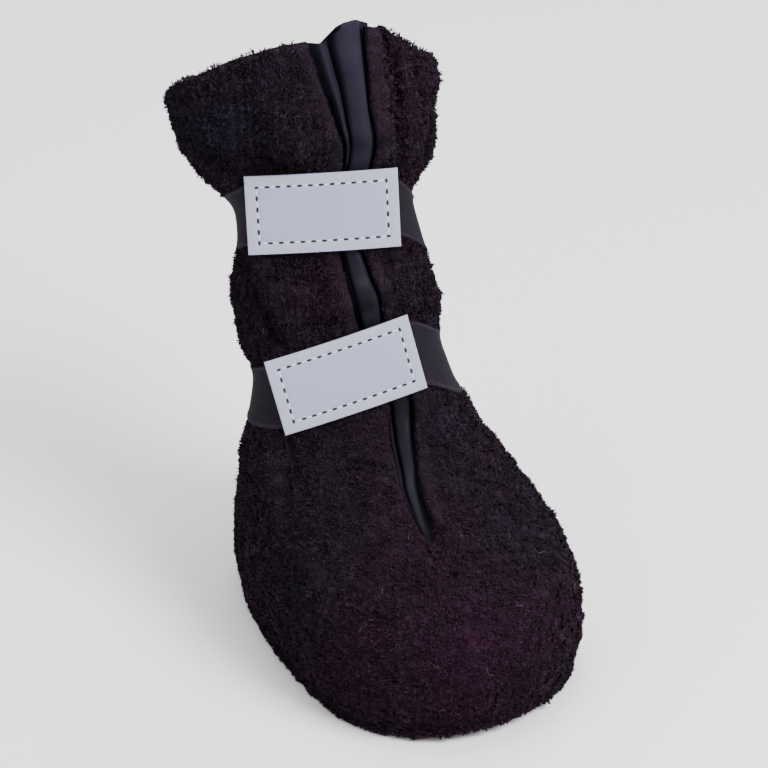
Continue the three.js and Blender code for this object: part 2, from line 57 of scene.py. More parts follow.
# The shoe's sizes, in mm, as in the part.
FOOT_LENGTH = 138
FOOT_WIDTH = 94
SOLE_THICKNESS = 2.4
SOLE_RIM = 0.8
TOE_SPRING = 4
INSOLE_THICKNESS = 2.4
ANKLE_HEIGHT = 84
ANKLE_FROM_HEEL = 33
SHAFT_LENGTH = 105
SHAFT_LEAN = 17
WAIST_WIDTH = 62
WAIST_DEPTH = 46
COLLAR_WIDTH = 90
COLLAR_DEPTH = 60
RIM_DROOP = 14
WALL = 2.6
SLIT_WIDTH = 21
GUSSET_MARGIN = 5
GUSSET_THICKNESS = 1
GUSSET_BEHIND = 0.9
PLEAT_DEPTH = 8
SLIT_DROP = 1.6
SLIT_EASE = 0.8
STRAP_WIDTH = 21
STRAP_THICKNESS = 1.2
STRAP_PINCH = 3.6
LOWER_STRAP_AT = 3
STRAP_SPACING = 53
STRAP_END_GAP = 8
TAB_LENGTH = 49.5
TAB_HEIGHT = 26.4
TAB_THICKNESS = 0.9
TAB_BOW = 2.6
TAB_CURL = 1.2
CLEARANCE = 0.3

SOLE_TOP = SOLE_THICKNESS + CLEARANCE
ANKLE_Y = FOOT_LENGTH / 2 - ANKLE_FROM_HEEL
AXIS = np.array([0, math.sin(math.radians(SHAFT_LEAN)), math.cos(math.radians(SHAFT_LEAN))])

# Foot sections from the sole seam up: front, back, front height, back height, width, widest,
# front bend, back bend, as shares of the foot's sizes.
FOOT_SECTIONS = {
    "seam edge": (-0.486, 0.486, 0, 0, 0.957, 0.64, 2.1, 2.6),
    "above seam": (-0.496, 0.494, 0.055, 0.055, 0.985, 0.64, 2.1, 2.6),
    "bulge": (-0.504, 0.5, 0.18, 0.18, 1.013, 0.64, 2.12, 2.6),
    "side": (-0.489, 0.495, 0.33, 0.315, 1.009, 0.63, 2.15, 2.6),
    "shoulder": (-0.437, 0.485, 0.462, 0.425, 0.98, 0.61, 2.2, 2.5),
    "crown": (-0.35, 0.474, 0.55, 0.495, 0.95, 0.58, 2.25, 2.45),
    "toe top": (-0.25, 0.466, 0.607, 0.555, 0.92, 0.55, 2.25, 2.4),
    "slit foot": (-0.185, 0.458, 0.645, 0.613, 0.893, 0.52, 2.25, 2.35),
    "instep": (-0.07, 0.451, 0.735, 0.67, 0.862, 0.5, 2.2, 2.3),
    "throat": (-0.005, 0.444, 0.84, 0.728, 0.827, 0.5, 2.2, 2.25),
    "under strap": (0.048, 0.438, 0.96, 0.79, 0.797, 0.5, 2.15, 2.2),
}

# Shaft sections: share of the shaft's length, flare from waist to collar, tilt and twist in degrees.
SHAFT_SECTIONS = {
    "ankle": (0.03, 0.27, 22, 1),
    "between straps": (0.3, 0.19, 24, 13),
    "upper strap": (0.55, 0, 27, 28),
    "above strap": (0.68, 0.3, 29, 22),
    "flare": (0.84, 0.86, 30, 9),
    "collar": (1, 1, 30, 5),
}
SHAFT_BEND = 2.15

# Rim height round the collar: degrees from the front, share of RIM_DROOP.
RIM_TABLE = (
    (-180, -0.6), (-110, -0.05), (-60, 0.3), (-30, 0.4), (-9, 0.34), (9, 0.42),
    (22, 0.26), (48, -0.48), (85, -1), (130, -1), (180, -0.6),
)

# The slit by height, -1 at its foot, 0 at the ankle, 1 at the collar: its width, and how far its
# middle has slipped to the right.
SLIT_TABLE = (
    (-1, 0, -0.25), (-0.93, 0.17, -0.2), (-0.8, 0.29, -0.11), (-0.6, 0.37, 0.06), (-0.3, 0.47, 0.3),
    (0.18, 0.5, 0), (0.38, 0.4, -0.16), (0.6, 0.54, 0.16), (0.68, 0.58, 0.2), (0.78, 0.66, 0.13),
    (0.9, 0.86, 0.05), (1, 1, 0.02),
)

# The straps: height up the shaft, rise to the right, hang at the back, dip under the tab, fall
# past the tab's right end, and the tab's middle.
STRAPS = {
    "upper": {
        "at": LOWER_STRAP_AT + STRAP_SPACING, "uphill": -0.33 * STRAP_WIDTH, "sag": 0.48 * STRAP_WIDTH,
        "dip": 0.16 * STRAP_WIDTH, "fall": 0.24 * STRAP_WIDTH, "tab_middle": -0.22 * TAB_LENGTH,
    },
    "lower": {
        "at": LOWER_STRAP_AT, "uphill": 0.05 * STRAP_WIDTH, "sag": 0.38 * STRAP_WIDTH,
        "dip": 0.06 * STRAP_WIDTH, "fall": 0.34 * STRAP_WIDTH, "tab_middle": -0.24 * TAB_LENGTH,
    },
}

# Creases of the fleece, each a soft line from one place to another on the shoe's face: level in
# mm up the shaft from the ankle, degrees round from the front, width and height in mm. A trough
# has a negative height.
CREASES = {
    "right collar": (
        ((104, 27), (66, 38), 2.2, -2.2), ((96, 42), (64, 58), 2.4, -1.9), ((100, 34), (68, 47), 3, 1.1),
        ((84, 72), (62, 88), 3.5, -1.6),
    ),
    "left collar": (
        ((100, -52), (68, -44), 6, -1.3), ((92, -34), (72, -28), 8, 1.3), ((92, -88), (66, -74), 4.5, -2),
    ),
    "collar hanging over the strap and tab, and drawn in below them": (
        ((71, 54), (64, 112), 11, 4.1), ((77, -44), (75, 20), 5, 1.3), ((28, 58), (25, 112), 8, -2.8),
    ),
    "back collar": (
        ((98, -140), (62, -128), 5, -1.8), ((90, 132), (56, 146), 4.5, -2), ((94, -170), (66, -165), 8, 1.4),
    ),
    "between the straps": (
        ((43, -82), (12, -58), 2.6, -2.6), ((40, -68), (16, -48), 3.6, 1.4), ((38, -34), (18, -30), 3, -0.9),
        ((42, 32), (14, 44), 3, -1.6), ((34, 62), (20, 70), 6, 1.3), ((38, 150), (8, 172), 4, -2.2),
        ((34, -150), (6, -128), 4, -1.9),
    ),
    "round the gusset's foot": (
        ((-8, 0), (-28, -7), 2.4, -1.6), ((-28, -6), (-34, -9), 3.6, -1.6), ((-11, -14), (-25, -20), 6, 1.8),
        ((-13, 32), (-26, 18), 6, 1.5), ((-29, -2), (-33, 0), 1.8, 1.5),
    ),
    "instep and ankle": (
        ((-11, -58), (-30, -72), 3.4, -2), ((-28, -62), (-40, -52), 5, -1), ((-12, 62), (-28, 82), 3.6, -1.7),
        ((-14, 84), (-30, 96), 8, 1.2),
    ),
    "heel": (
        ((-10, -132), (-34, -118), 4.5, -1.9), ((-8, 128), (-30, 112), 4.5, -1.8),
        ((-22, 160), (-24, -160), 4, -1.5),
    ),
    "toe": (((-50, 14), (-46, 30), 12, -1.1), ((-52, -44), (-60, -30), 9, -1)),
}
CREASE_DEPTH = 1.5

# Puckers where each strap gathers the fleece: degrees round, height in mm, above and below it.
PUCKERS = {
    "upper": (
        (-150, 1.1), (-128, 0.8), (-96, 1.2), (-70, 0.9), (-46, 1), (38, 0.9), (58, 1.2), (84, 1), (112, 1.1),
        (155, 1),
    ),
    "lower": (
        (-158, 1), (-124, 1.2), (-92, 0.9), (-66, 1.1), (-40, 0.9), (34, 1.1), (52, 0.9), (78, 1.2), (118, 1),
        (146, 0.9),
    ),
}
PUCKER_LENGTH = 13
PUCKER_WIDTH = 2.2


def curve_through(knots, values):
    """A smooth curve through table values that never overshoots them."""
    knots = np.asarray(knots, float)
    values = np.asarray(values, float)
    spans = np.diff(knots)
    slopes = np.diff(values) / spans
    tangents = np.zeros(len(knots))
    tangents[0] = slopes[0]
    tangents[-1] = slopes[-1]
    for i in range(1, len(knots) - 1):
        before, after = slopes[i - 1], slopes[i]
        if before * after > 0:
            tangents[i] = 2 * before * after / (before + after)

    def curve(at):
        at = np.asarray(at, float)
        i = np.clip(np.searchsorted(knots, at, side="left") - 1, 0, len(knots) - 2)
        t = np.clip((at - knots[i]) / spans[i], 0, 1)
        t2 = t * t
        t3 = t2 * t
        start = (2 * t3 - 3 * t2 + 1) * values[i] + (t3 - 2 * t2 + t) * spans[i] * tangents[i]
        end = (3 * t2 - 2 * t3) * values[i + 1] + (t3 - t2) * spans[i] * tangents[i + 1]
        return start + end

    return curve


def smoothstep(value, low, high):
    t = np.clip((np.asarray(value, float) - low) / (high - low), 0, 1)
    return t * t * (3 - 2 * t)


def mix(a, b, t):
    return a + (b - a) * t


# The fleece's outer face, as the part works it out: level up the shoe, angle round it.
def foot_section(front, back, front_height, back_height, width, widest, front_bend, back_bend):
    reach = ANKLE_HEIGHT - SOLE_TOP
    front_z = SOLE_TOP + front_height * reach
    back_z = SOLE_TOP + back_height * reach
    return (
        (front_z + back_z) / 2 - ANKLE_HEIGHT, front * FOOT_LENGTH, front_z, back * FOOT_LENGTH, back_z,
        width * FOOT_WIDTH / 2, widest, front_bend, back_bend, 0,
    )


def shaft_section(at, flare, tilt, twist):
    tilt = math.radians(tilt)
    level = at * SHAFT_LENGTH
    centre_y = ANKLE_Y + level * AXIS[1]
    centre_z = ANKLE_HEIGHT + level * AXIS[2]
    half = mix(WAIST_DEPTH, COLLAR_DEPTH, flare) / 2
    return (
        level, centre_y - half * math.cos(tilt), centre_z + half * math.sin(tilt),
        centre_y + half * math.cos(tilt), centre_z - half * math.sin(tilt),
        mix(WAIST_WIDTH, COLLAR_WIDTH, flare) / 2, 0.5, SHAFT_BEND, SHAFT_BEND, math.radians(twist),
    )


FEET = [foot_section(*row) for row in FOOT_SECTIONS.values()]
SHAFTS = [shaft_section(*row) for row in SHAFT_SECTIONS.values()]
SECTIONS = np.array(FEET + SHAFTS)
LOWEST = SECTIONS[0, 0]
HIGHEST = SHAFT_LENGTH
SLIT_FOOT = SECTIONS[list(FOOT_SECTIONS).index("slit foot"), 0] - SLIT_DROP
MEASURES = [curve_through(SECTIONS[:, 0], SECTIONS[:, k]) for k in range(1, SECTIONS.shape[1])]
ARC_SAMPLES = 720
ANGLES = 720
LEVEL_STEP = 0.5


def power_arc(angle, bend):
    wave = np.sin(angle)
    return np.sign(wave) * np.abs(wave) ** (2 / bend)


def section_points(level, angles):
    measures = (curve(level) for curve in MEASURES)
    front_y, front_z, back_y, back_z, half_width, widest, front_bend, back_bend, twist = measures
    run = math.hypot(front_y - back_y, front_z - back_z)
    turn = np.linspace(0, TURN, ARC_SAMPLES + 1)
    front = np.cos(turn) >= 0
    bend = np.where(front, front_bend, back_bend)
    reach = np.where(front, (1 - widest) * run, widest * run)
    wide = half_width * power_arc(turn, bend)
    ahead = reach * power_arc(math.pi / 2 - turn, bend)
    x = wide * np.cos(twist) - ahead * np.sin(twist)
    s = widest * run + wide * np.sin(twist) + ahead * np.cos(twist)
    lengths = np.concatenate([[0], np.cumsum(np.hypot(np.diff(x), np.diff(s)))])
    first = int(np.argmax(x[1:] >= 0))
    front = mix(lengths[first], lengths[first + 1], -x[first] / (x[first + 1] - x[first]))
    wanted = (angles / TURN * lengths[-1] + front) % lengths[-1]
    x = np.interp(wanted, lengths, x)
    s = np.interp(wanted, lengths, s)
    y = back_y + s * (front_y - back_y) / run
    z = back_z + s * (front_z - back_z) / run
    middle = np.array([0, (front_y + back_y) / 2, (front_z + back_z) / 2])
    return np.stack([x, y, z], axis=1), middle, lengths[-1]


FALL_RUN = math.radians(45)
FALL_END = math.radians(105)
PINCH_REACH = 0.68 * STRAP_WIDTH
LIFT_FROM = 0.28 * FOOT_LENGTH
LIFT_RUN = 0.22 * FOOT_LENGTH


def strap_level(strap, angle):
    level = strap["at"] + strap["uphill"] * np.sin(angle) - strap["sag"] * (1 - np.cos(angle)) / 2
    signed = np.arctan2(np.sin(angle), np.cos(angle))
    girth = strap_girth(strap["at"])
    middle = TURN * strap["tab_middle"] / girth
    half = TURN * TAB_LENGTH / 2 / girth
    under_tab = np.maximum(0, 1 - ((signed - middle) / half) ** 2)
    fallen = smoothstep(signed, middle + half, middle + half + FALL_RUN)
    back = 1 - smoothstep(signed, FALL_END, math.pi)
    return level - strap["dip"] * under_tab - strap["fall"] * fallen * back


@functools.cache
def strap_girth(level):
    return section_points(level, np.zeros(1))[2]


def pinch_at(level, angle):
    most = 0
    for strap in STRAPS.values():
        away = (level - strap_level(strap, angle)) / PINCH_REACH
        most = np.maximum(most, np.exp(-(away**4)))
    return most


def toe_lift(y):
    past = np.maximum(0, (-y - LIFT_FROM) / LIFT_RUN)
    return TOE_SPRING * past * past


rim_curve = curve_through([row[0] for row in RIM_TABLE], [row[1] for row in RIM_TABLE])
slit_widths = curve_through([row[0] for row in SLIT_TABLE], [row[1] for row in SLIT_TABLE])
slit_slips = curve_through([row[0] for row in SLIT_TABLE], [row[2] for row in SLIT_TABLE])
RIM_START = LOWER_STRAP_AT + STRAP_SPACING + STRAP_WIDTH * 0.75


def rim_rise(level, angle):
    signed = np.degrees(np.arctan2(np.sin(angle), np.cos(angle)))
    return RIM_DROOP * rim_curve(signed) * smoothstep(level, RIM_START, HIGHEST)


def slit_place(level):
    level = np.asarray(level, float)
    return np.where(level < 0, -level / SLIT_FOOT, level / SHAFT_LENGTH)


def slit_half(level):
    return SLIT_WIDTH * slit_widths(slit_place(level)) / 2


def slit_middle(level):
    return SLIT_WIDTH * slit_slips(slit_place(level))


def unit(vectors):
    return vectors / np.maximum(np.linalg.norm(vectors, axis=-1, keepdims=True), 1e-9)


def grid_normals(points):
    up = np.gradient(points, axis=0)
    around = np.roll(points, -1, axis=1) - np.roll(points, 1, axis=1)
    return unit(np.cross(around, up))


class Face:
    """A face of the shoe as a fine grid, read at any level, angle and distance out."""

    def __init__(self, points, girths):
        self.points = points
        self.normals = grid_normals(points)
        self.girths = girths

    def read(self, grid, level, angle):
        """The grid's value between its four nearest points."""
        row = np.clip((np.asarray(level, float) - LOWEST) / LEVEL_STEP, 0, len(grid) - 1.001)
        column = (np.asarray(angle, float) / TURN % 1) * ANGLES
        r, c = row.astype(int), column.astype(int)
        tr, tc = (row - r)[..., None], (column - c)[..., None]
        c, c2 = c % ANGLES, (c + 1) % ANGLES
        return mix(mix(grid[r, c], grid[r, c2], tc), mix(grid[r + 1, c], grid[r + 1, c2], tc), tr)

    def point(self, level, angle, out=0):
        level, angle = np.broadcast_arrays(np.asarray(level, float), np.asarray(angle, float))
        beyond = np.maximum(0, level - HIGHEST)[..., None] * AXIS
        out = np.asarray(out, float)[..., None]
        return self.read(self.points, level, angle) + self.normal(level, angle) * out + beyond

    def normal(self, level, angle):
        return unit(self.read(self.normals, level, angle))

    def girth(self, level):
        row = (np.asarray(level, float) - LOWEST) / LEVEL_STEP
        return np.interp(row, np.arange(len(self.girths)), self.girths)

    def angle_for(self, level, around):
        return TURN * np.asarray(around, float) / self.girth(level)


def drawn_row(level, angles):
    """The face as the straps draw it in, at one level."""
    row, middle, girth = section_points(min(level, HIGHEST), angles)
    row = row + unit(middle - row) * (STRAP_PINCH * pinch_at(level, angles))[:, None]
    row = row + AXIS * (rim_rise(level, angles) + max(0, level - HIGHEST))[:, None]
    fade = 1 - smoothstep(row[:, 2], SOLE_TOP, ANKLE_HEIGHT)
    row[:, 2] += toe_lift(row[:, 1]) * fade
    return row, girth


class Seat:
    """Where a stiff tab lies nearly flat across its strap."""

    def __init__(self, strap):
        self.strap = strap
        girth = strap_girth(strap["at"])
        ends = []
        for aside in (-TAB_LENGTH / 2, TAB_LENGTH / 2):
            angle = np.array([TURN * (strap["tab_middle"] + aside) / girth])
            ends.append(drawn_row(float(strap_level(strap, angle)[0]), angle)[0][0])
        left, right = ends
        self.along = unit(right - left)
        self.outward = unit(np.cross(self.along, AXIS))
        self.across = np.cross(self.outward, self.along)
        self.middle = (left + right) / 2 + self.outward * TAB_BOW

    def measure(self, points):
        """Each point's place on the seat: mm along it, across it and out of it."""
        offset = points - self.middle
        along = offset @ self.along
        return along, offset @ self.across, offset @ self.outward + curl_at(along)


def curl_at(along):
    return TAB_CURL * (along / (TAB_LENGTH / 2)) ** 2


SEATS = {name: Seat(strap) for name, strap in STRAPS.items()}
PRESS_START = 0.58 * TAB_HEIGHT
PRESS_END = 0.95 * TAB_HEIGHT
PRESS_SOFTNESS = 1


def pressed(row, level, angles):
    """The fleece flattened behind the stiff tabs."""
    for seat in SEATS.values():
        away = np.abs(level - strap_level(seat.strap, angles))
        hold = 1 - smoothstep(away, PRESS_START, PRESS_END)
        _, _, over = seat.measure(row)
        press_by = PRESS_SOFTNESS * np.log1p(np.exp(over / PRESS_SOFTNESS))
        row = row - seat.outward * (hold * press_by)[:, None]
    return row


def plain_face():
    levels = np.arange(LOWEST, HIGHEST + LEVEL_STEP, LEVEL_STEP)
    angles = np.arange(ANGLES) / ANGLES * TURN
    points = np.zeros((len(levels), ANGLES, 3))
    girths = np.zeros(len(levels))
    for i, level in enumerate(levels):
        row, girths[i] = drawn_row(level, angles)
        points[i] = pressed(row, level, angles)
    return Face(points, girths)


def line_profile(level, angle, start, end, width, girth):
    """How near each place is to a crease's line, from 1 on it to 0 away from it."""
    a_level, a_angle = start
    b_level, b_angle = end
    b_angle = a_angle + (b_angle - a_angle + 180) % 360 - 180
    scale = girth / 360
    away = (np.degrees(angle) - a_angle + 180) % 360 - 180
    along_level = b_level - a_level
    along_arc = (b_angle - a_angle) * scale
    from_level = level - a_level
    from_arc = away * scale
    length2 = along_level**2 + along_arc**2
    share = np.clip((from_level * along_level + from_arc * along_arc) / length2, 0, 1)
    off = np.hypot(from_level - share * along_level, from_arc - share * along_arc)
    taper = 0.35 + 0.65 * np.sin(math.pi * (share * 0.8 + 0.1))
    return np.exp(-((off / width) ** 2)) * taper


def soft_noise(points, size, seed):
    """Smooth lumps of about the given size, between -1 and 1."""
    chance = np.random.default_rng(seed)
    total = 0
    waves = 18
    for _ in range(waves):
        direction = unit(chance.normal(size=3))
        pitch = TURN / (size * chance.uniform(0.8, 1.5))
        total = total + np.sin(points @ direction * pitch + chance.uniform(0, TURN))
    return total / math.sqrt(waves / 2) * 0.5


def creased_face(plain):
    levels = (LOWEST + np.arange(len(plain.points)) * LEVEL_STEP)[:, None]
    angles = (np.arange(ANGLES) / ANGLES * TURN)[None, :]
    girth = plain.girths[:, None]
    height = np.zeros(plain.points.shape[:2])
    for start, end, width, tall in itertools.chain(*CREASES.values()):
        height += CREASE_DEPTH * tall * line_profile(levels, angles, start, end, width, girth)
    for name, puckers in PUCKERS.items():
        for degrees, tall in puckers:
            middle = strap_level(STRAPS[name], math.radians(degrees))
            for side, shift in ((1, 0), (-1, 7)):
                edge = middle + side * STRAP_WIDTH * 0.5
                start = (edge, degrees + shift)
                end = (edge + side * PUCKER_LENGTH, degrees + shift * 1.4)
                height -= tall * line_profile(levels, angles, start, end, PUCKER_WIDTH, girth)
    held = pinch_at(levels, angles)
    height *= 1 - smoothstep(held, 0.15, 0.75)
    height *= smoothstep(levels, LOWEST, LOWEST + 8)
    lumps = 0.45 * soft_noise(plain.points, 16, 3) + 0.2 * soft_noise(plain.points, 6, 4)
    height += lumps * (1 - 0.8 * held) * smoothstep(levels, LOWEST, LOWEST + 4)
    points = plain.points + plain.normals * height[..., None]
    return Face(points, plain.girths)


plain = plain_face()
fleece = creased_face(plain)


# Meshes
def add_mesh(name, points, faces, material, node=None):
    """A new piece from points in mm and faces, standing for a node if one is named."""
    mesh = bpy.data.meshes.new(name)
    mesh.from_pydata((np.asarray(points) * MM).tolist(), [], faces, shade_flat=False)
    mesh.validate()
    mesh.materials.append(material)
    piece = bpy.data.objects.new(name, mesh)
    bpy.context.scene.collection.objects.link(piece)
    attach(piece, "root")
    if node:
        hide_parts(node)
    return piece


def turn_outwards(piece, merge=0):
    """Merges points within so many mm of each other and turns the faces outwards."""
    work = bmesh.new()
    work.from_mesh(piece.data)
    if merge:
        bmesh.ops.remove_doubles(work, verts=work.verts, dist=merge * MM)
    bmesh.ops.recalc_face_normals(work, faces=work.faces)
    work.to_mesh(piece.data)
    work.free()


def keep_attribute(piece, name, values):
    """A number on each point, for the material to read."""
    attribute = piece.data.attributes.new(name, "FLOAT", "POINT")
    attribute.data.foreach_set("value", np.asarray(values, np.float32))


def grid_faces(rows, columns, wrap=False):
    """Quads over a grid of points, row by row."""
    r = np.arange(rows - 1)[:, None]
    c = np.arange(columns if wrap else columns - 1)[None, :]
    c2 = (c + 1) % columns
    a = r * columns + c
    b = r * columns + c2
    return np.stack([a, b, b + columns, a + columns], axis=-1).reshape(-1, 4)


# Materials
class Surface:
    """A material, with short ways to add and join its nodes."""

    def __init__(self, name, color, roughness, specular=0.1):
        self.material = bpy.data.materials.new(name)
        self.material.use_nodes = True
        self.tree = self.material.node_tree
        self.inputs = self.tree.nodes["Principled BSDF"].inputs
        self.inputs["Base Color"].default_value = (*color, 1)
        self.inputs["Roughness"].default_value = roughness
        self.inputs["Specular IOR Level"].default_value = specular

    def add(self, kind, inputs=None, **settings):
        """A node with its settings, and a value or a link on each input."""
        node = self.tree.nodes.new(kind)
        for key, value in settings.items():
            setattr(node, key, value)
        for key, value in (inputs or {}).items():
            if isinstance(value, bpy.types.NodeSocket):
                self.tree.links.new(value, node.inputs[key])
            else:
                node.inputs[key].default_value = value
        return node

    def place(self):
        return self.add("ShaderNodeTexCoord").outputs["Object"]

    def noise(self, scale, detail):
        inputs = {"Vector": self.place(), "Scale": scale, "Detail": detail, "Roughness": 0.6}
        return self.add("ShaderNodeTexNoise", inputs).outputs["Fac"]

    def voronoi(self, scale):
        inputs = {"Vector": self.place(), "Scale": scale}
        return self.add("ShaderNodeTexVoronoi", inputs).outputs["Distance"]

    def attribute(self, name):
        return self.add("ShaderNodeAttribute", attribute_name=name).outputs["Fac"]

    def math(self, operation, *values):
        return self.add("ShaderNodeMath", dict(enumerate(values)), operation=operation).outputs[0]

    def sum(self, *terms):
        """The sum of some values, each with its weight."""
        total = 0
        for value, weight in terms:
            total = self.math("ADD", total, self.math("MULTIPLY", value, weight))
        return total

    def ramp(self, factor, *stops):
        node = self.add("ShaderNodeValToRGB", {"Fac": factor})
        elements = node.color_ramp.elements
        while len(elements) < len(stops):
            elements.new(0.5)
        for element, (position, color) in zip(elements, stops):
            element.position = position
            element.color = (*color, 1)
        return node.outputs["Color"]

    def color(self, color, tint=None):
        if tint:
            inputs = {0: color, 1: tint}
            color = self.add("ShaderNodeVectorMath", inputs, operation="MULTIPLY").outputs["Vector"]
        self.tree.links.new(color, self.inputs["Base Color"])

    def bump(self, height, strength, distance):
        inputs = {"Height": height, "Strength": strength, "Distance": distance}
        self.tree.links.new(self.add("ShaderNodeBump", inputs).outputs["Normal"], self.inputs["Normal"])


FLEECE_DARK = (0.0055, 0.0035, 0.0056)
FLEECE_MID = (0.0155, 0.0095, 0.0152)
FLEECE_LIGHT = (0.041, 0.028, 0.042)
NAVY_TINT = (0.74, 0.95, 1.02)
WINE_TINT = (1.34, 0.7, 1.06)
PLAIN_TINT = (1, 1, 1)
SOFTSHELL_DARK = (0.007, 0.0058, 0.0125)
SOFTSHELL_LIGHT = (0.0125, 0.0102, 0.021)
# Painted shade for the gusset's foot, down in the slit's valley.
FOOT_PAINTED_SHADE = (0.47, 0.45, 0.5)
ELASTIC_DARK = (0.0048, 0.0035, 0.0062)
ELASTIC_LIGHT = (0.0185, 0.0148, 0.022)
WEFT_PITCH = 1.1
TAB_FIELD = (0.275, 0.28, 0.42)
TAB_MARGIN = (0.31, 0.315, 0.415)
THREAD_DARK = (0.36, 0.36, 0.42)
THREAD_LIGHT = (0.62, 0.62, 0.68)
# Painted shadow of the stitch holes, for the dark dashes between the white threads.
DIP_SHADOW_DARK = (0.006, 0.006, 0.009)
DIP_SHADOW_LIGHT = (0.03, 0.03, 0.042)
SOLE_DARK = (0.0035, 0.0022, 0.0024)
SOLE_LIGHT = (0.009, 0.006, 0.0062)
FELT_DARK = (0.004, 0.003, 0.0036)
FELT_LIGHT = (0.010, 0.0075, 0.009)


def fleece_material():
    made = Surface("fleece backing", FLEECE_DARK, 1, 0.02)
    tufts = made.noise(900, 3)
    made.color(made.ramp(tufts, (0.2, FLEECE_DARK), (0.6, FLEECE_MID)))
    made.bump(made.sum((tufts, 1), (made.voronoi(420), 0.8)), 0.9, 0.0006)
    return made.material


def pile_material():
    made = Surface("fleece pile", FLEECE_MID, 0.9, 0.03)
    tip, pale, warm = (made.attribute(name) for name in ("tip", "pale", "warm"))
    # Painted shade: darker at the fibres' roots and at the tufts' edges, where the pile shades itself.
    shade = made.sum((tip, 0.42), (pale, 0.42), (made.noise(120, 3), 0.3))
    color = made.ramp(shade, (0.2, FLEECE_DARK), (0.6, FLEECE_MID), (1, FLEECE_LIGHT))
    made.color(color, made.ramp(warm, (0.1, NAVY_TINT), (0.45, PLAIN_TINT), (0.9, WINE_TINT)))
    return made.material


def softshell_material():
    made = Surface("softshell", SOFTSHELL_LIGHT, 0.6)
    color = made.ramp(made.noise(90, 3), (0.3, SOFTSHELL_DARK), (0.75, SOFTSHELL_LIGHT))
    # Painted shade: the softshell darkens towards the gusset's foot, deep in the slit's valley.
    height = made.attribute("height")
    made.color(color, made.ramp(height, (0, FOOT_PAINTED_SHADE), (0.35, FOOT_PAINTED_SHADE), (1, PLAIN_TINT)))
    made.bump(made.noise(2600, 2), 0.25, 0.0001)
    return made.material


def elastic_material():
    made = Surface("ribbed elastic", ELASTIC_DARK, 0.8, 0.05)
    fuzz = made.noise(1500, 3)
    picks = made.math("SINE", made.math("MULTIPLY", made.attribute("along"), TURN / WEFT_PITCH))
    # Painted light: pale lightens the ribs' crests and selvedge over the darker grooves.
    shade = made.sum((made.attribute("pale"), 0.6), (fuzz, 0.5), (picks, 0.06))
    made.color(made.ramp(shade, (0.2, ELASTIC_DARK), (0.95, ELASTIC_LIGHT)))
    made.bump(made.sum((picks, 0.35), (fuzz, 1)), 0.5, 0.00015)
    return made.material


def tab_material():
    made = Surface("reflective cloth", TAB_FIELD, 0.5, 0.3)
    soft = made.sum((made.attribute("margin"), 1), (made.noise(60, 3), 0.25))
    made.color(made.ramp(soft, (0.1, TAB_FIELD), (0.9, TAB_MARGIN)))
    made.bump(made.noise(2200, 2), 0.12, 0.0001)
    return made.material


def speckled_material(name, dark, light, roughness, scale, bump_distance=0.0001, specular=0.1):
    """A plain yarn, felt or sole, or the painted shadow of stitch holes: two close shades over fine specks.
    """
    made = Surface(name, dark, roughness, specular)
    specks = made.noise(scale, 3)
    made.color(made.ramp(specks, (0.3, dark), (0.72, light)))
    made.bump(specks, 0.5, bump_distance)
    return made.material


FLEECE = fleece_material()
PILE = pile_material()
SOFTSHELL = softshell_material()
ELASTIC = elastic_material()
TAB = tab_material()
THREAD = speckled_material("thread", THREAD_DARK, THREAD_LIGHT, 0.6, 1800)
# Painted shadow: these dark dashes stand for the shade in the stitch holes.
PAINTED_HOLE_SHADOW = speckled_material("painted stitch hole shadow", DIP_SHADOW_DARK, DIP_SHADOW_LIGHT, 0.7, 1800)
SOLE = speckled_material("sole cloth", SOLE_DARK, SOLE_LIGHT, 0.9, 1400, 0.0003)
FELT = speckled_material("felt", FELT_DARK, FELT_LIGHT, 1.0, 1100, 0.0004, 0.03)
LINT = speckled_material("lint", (0.05, 0.045, 0.05), (0.13, 0.12, 0.125), 0.7, 300)

# The fleece body: outer face, inner face and rounded edges, open at the slit and underneath.
EDGE_STEPS = (0, 0.1, 0.35, 0.75, 1.3, 2.2, 3.4, 4.8)
BODY_COLUMNS = 216
BODY_ROWS = 200
HEM_WIDTH = 7.4
HEM_START = 66


def body_levels():
    plain_rows = np.linspace(LOWEST, HIGHEST - EDGE_STEPS[-1], BODY_ROWS)
    rim_rows = HIGHEST - np.array(EDGE_STEPS[::-1][1:])
    return np.concatenate([plain_rows, rim_rows])


def body_columns(level):
    """Distances in mm from the slit's right edge round to its left edge."""
    open_half = slit_half(level)
    whole = fleece.girth(level) - 2 * open_half
    inner = np.linspace(EDGE_STEPS[-1], whole - EDGE_STEPS[-1], BODY_COLUMNS)
    across = np.concatenate([EDGE_STEPS[:-1], inner, whole - np.array(EDGE_STEPS[::-1][1:])])
    angles = fleece.angle_for(level, slit_middle(level) + open_half + across)
    from_edge = np.minimum(across, whole - across)
    return angles, from_edge, across


def edge_round(distance, wall):
    reach = np.clip(1 - distance / (wall / 2), 0, 1)
    return wall / 2 * (1 - np.sqrt(1 - reach**2))


def slit_angle(level):
    return float(plain.angle_for(level, slit_middle(level)))


def hem_height(level, from_edge, across):
    """The turned edge beside the slit: a soft roll, and a stitched groove on the right."""
    open_share = smoothstep(slit_half(level), 0.3, 2)
    free = (1 - pinch_at(level, slit_angle(level))) * open_share
    roll = 0.7 * np.exp(-(((from_edge - 3) / 2.2) ** 2))
    groove = -1.7 * np.exp(-(((across - HEM_WIDTH) / 1.1) ** 2)) * smoothstep(level, 58, 70)
    return (roll + groove) * free


def body_shape(level, angles, from_edge, across):
    open_share = smoothstep(slit_half(level), 0.2, 0.9)
    to_rim = HIGHEST - level
    curl = np.where(from_edge < to_rim, edge_round(from_edge, WALL) * open_share, edge_round(to_rim, WALL))
    hem = hem_height(level, from_edge, across)
    outer = fleece.point(level, angles, hem - curl)
    inner = plain.point(level, angles, -WALL + curl)
    return outer, inner


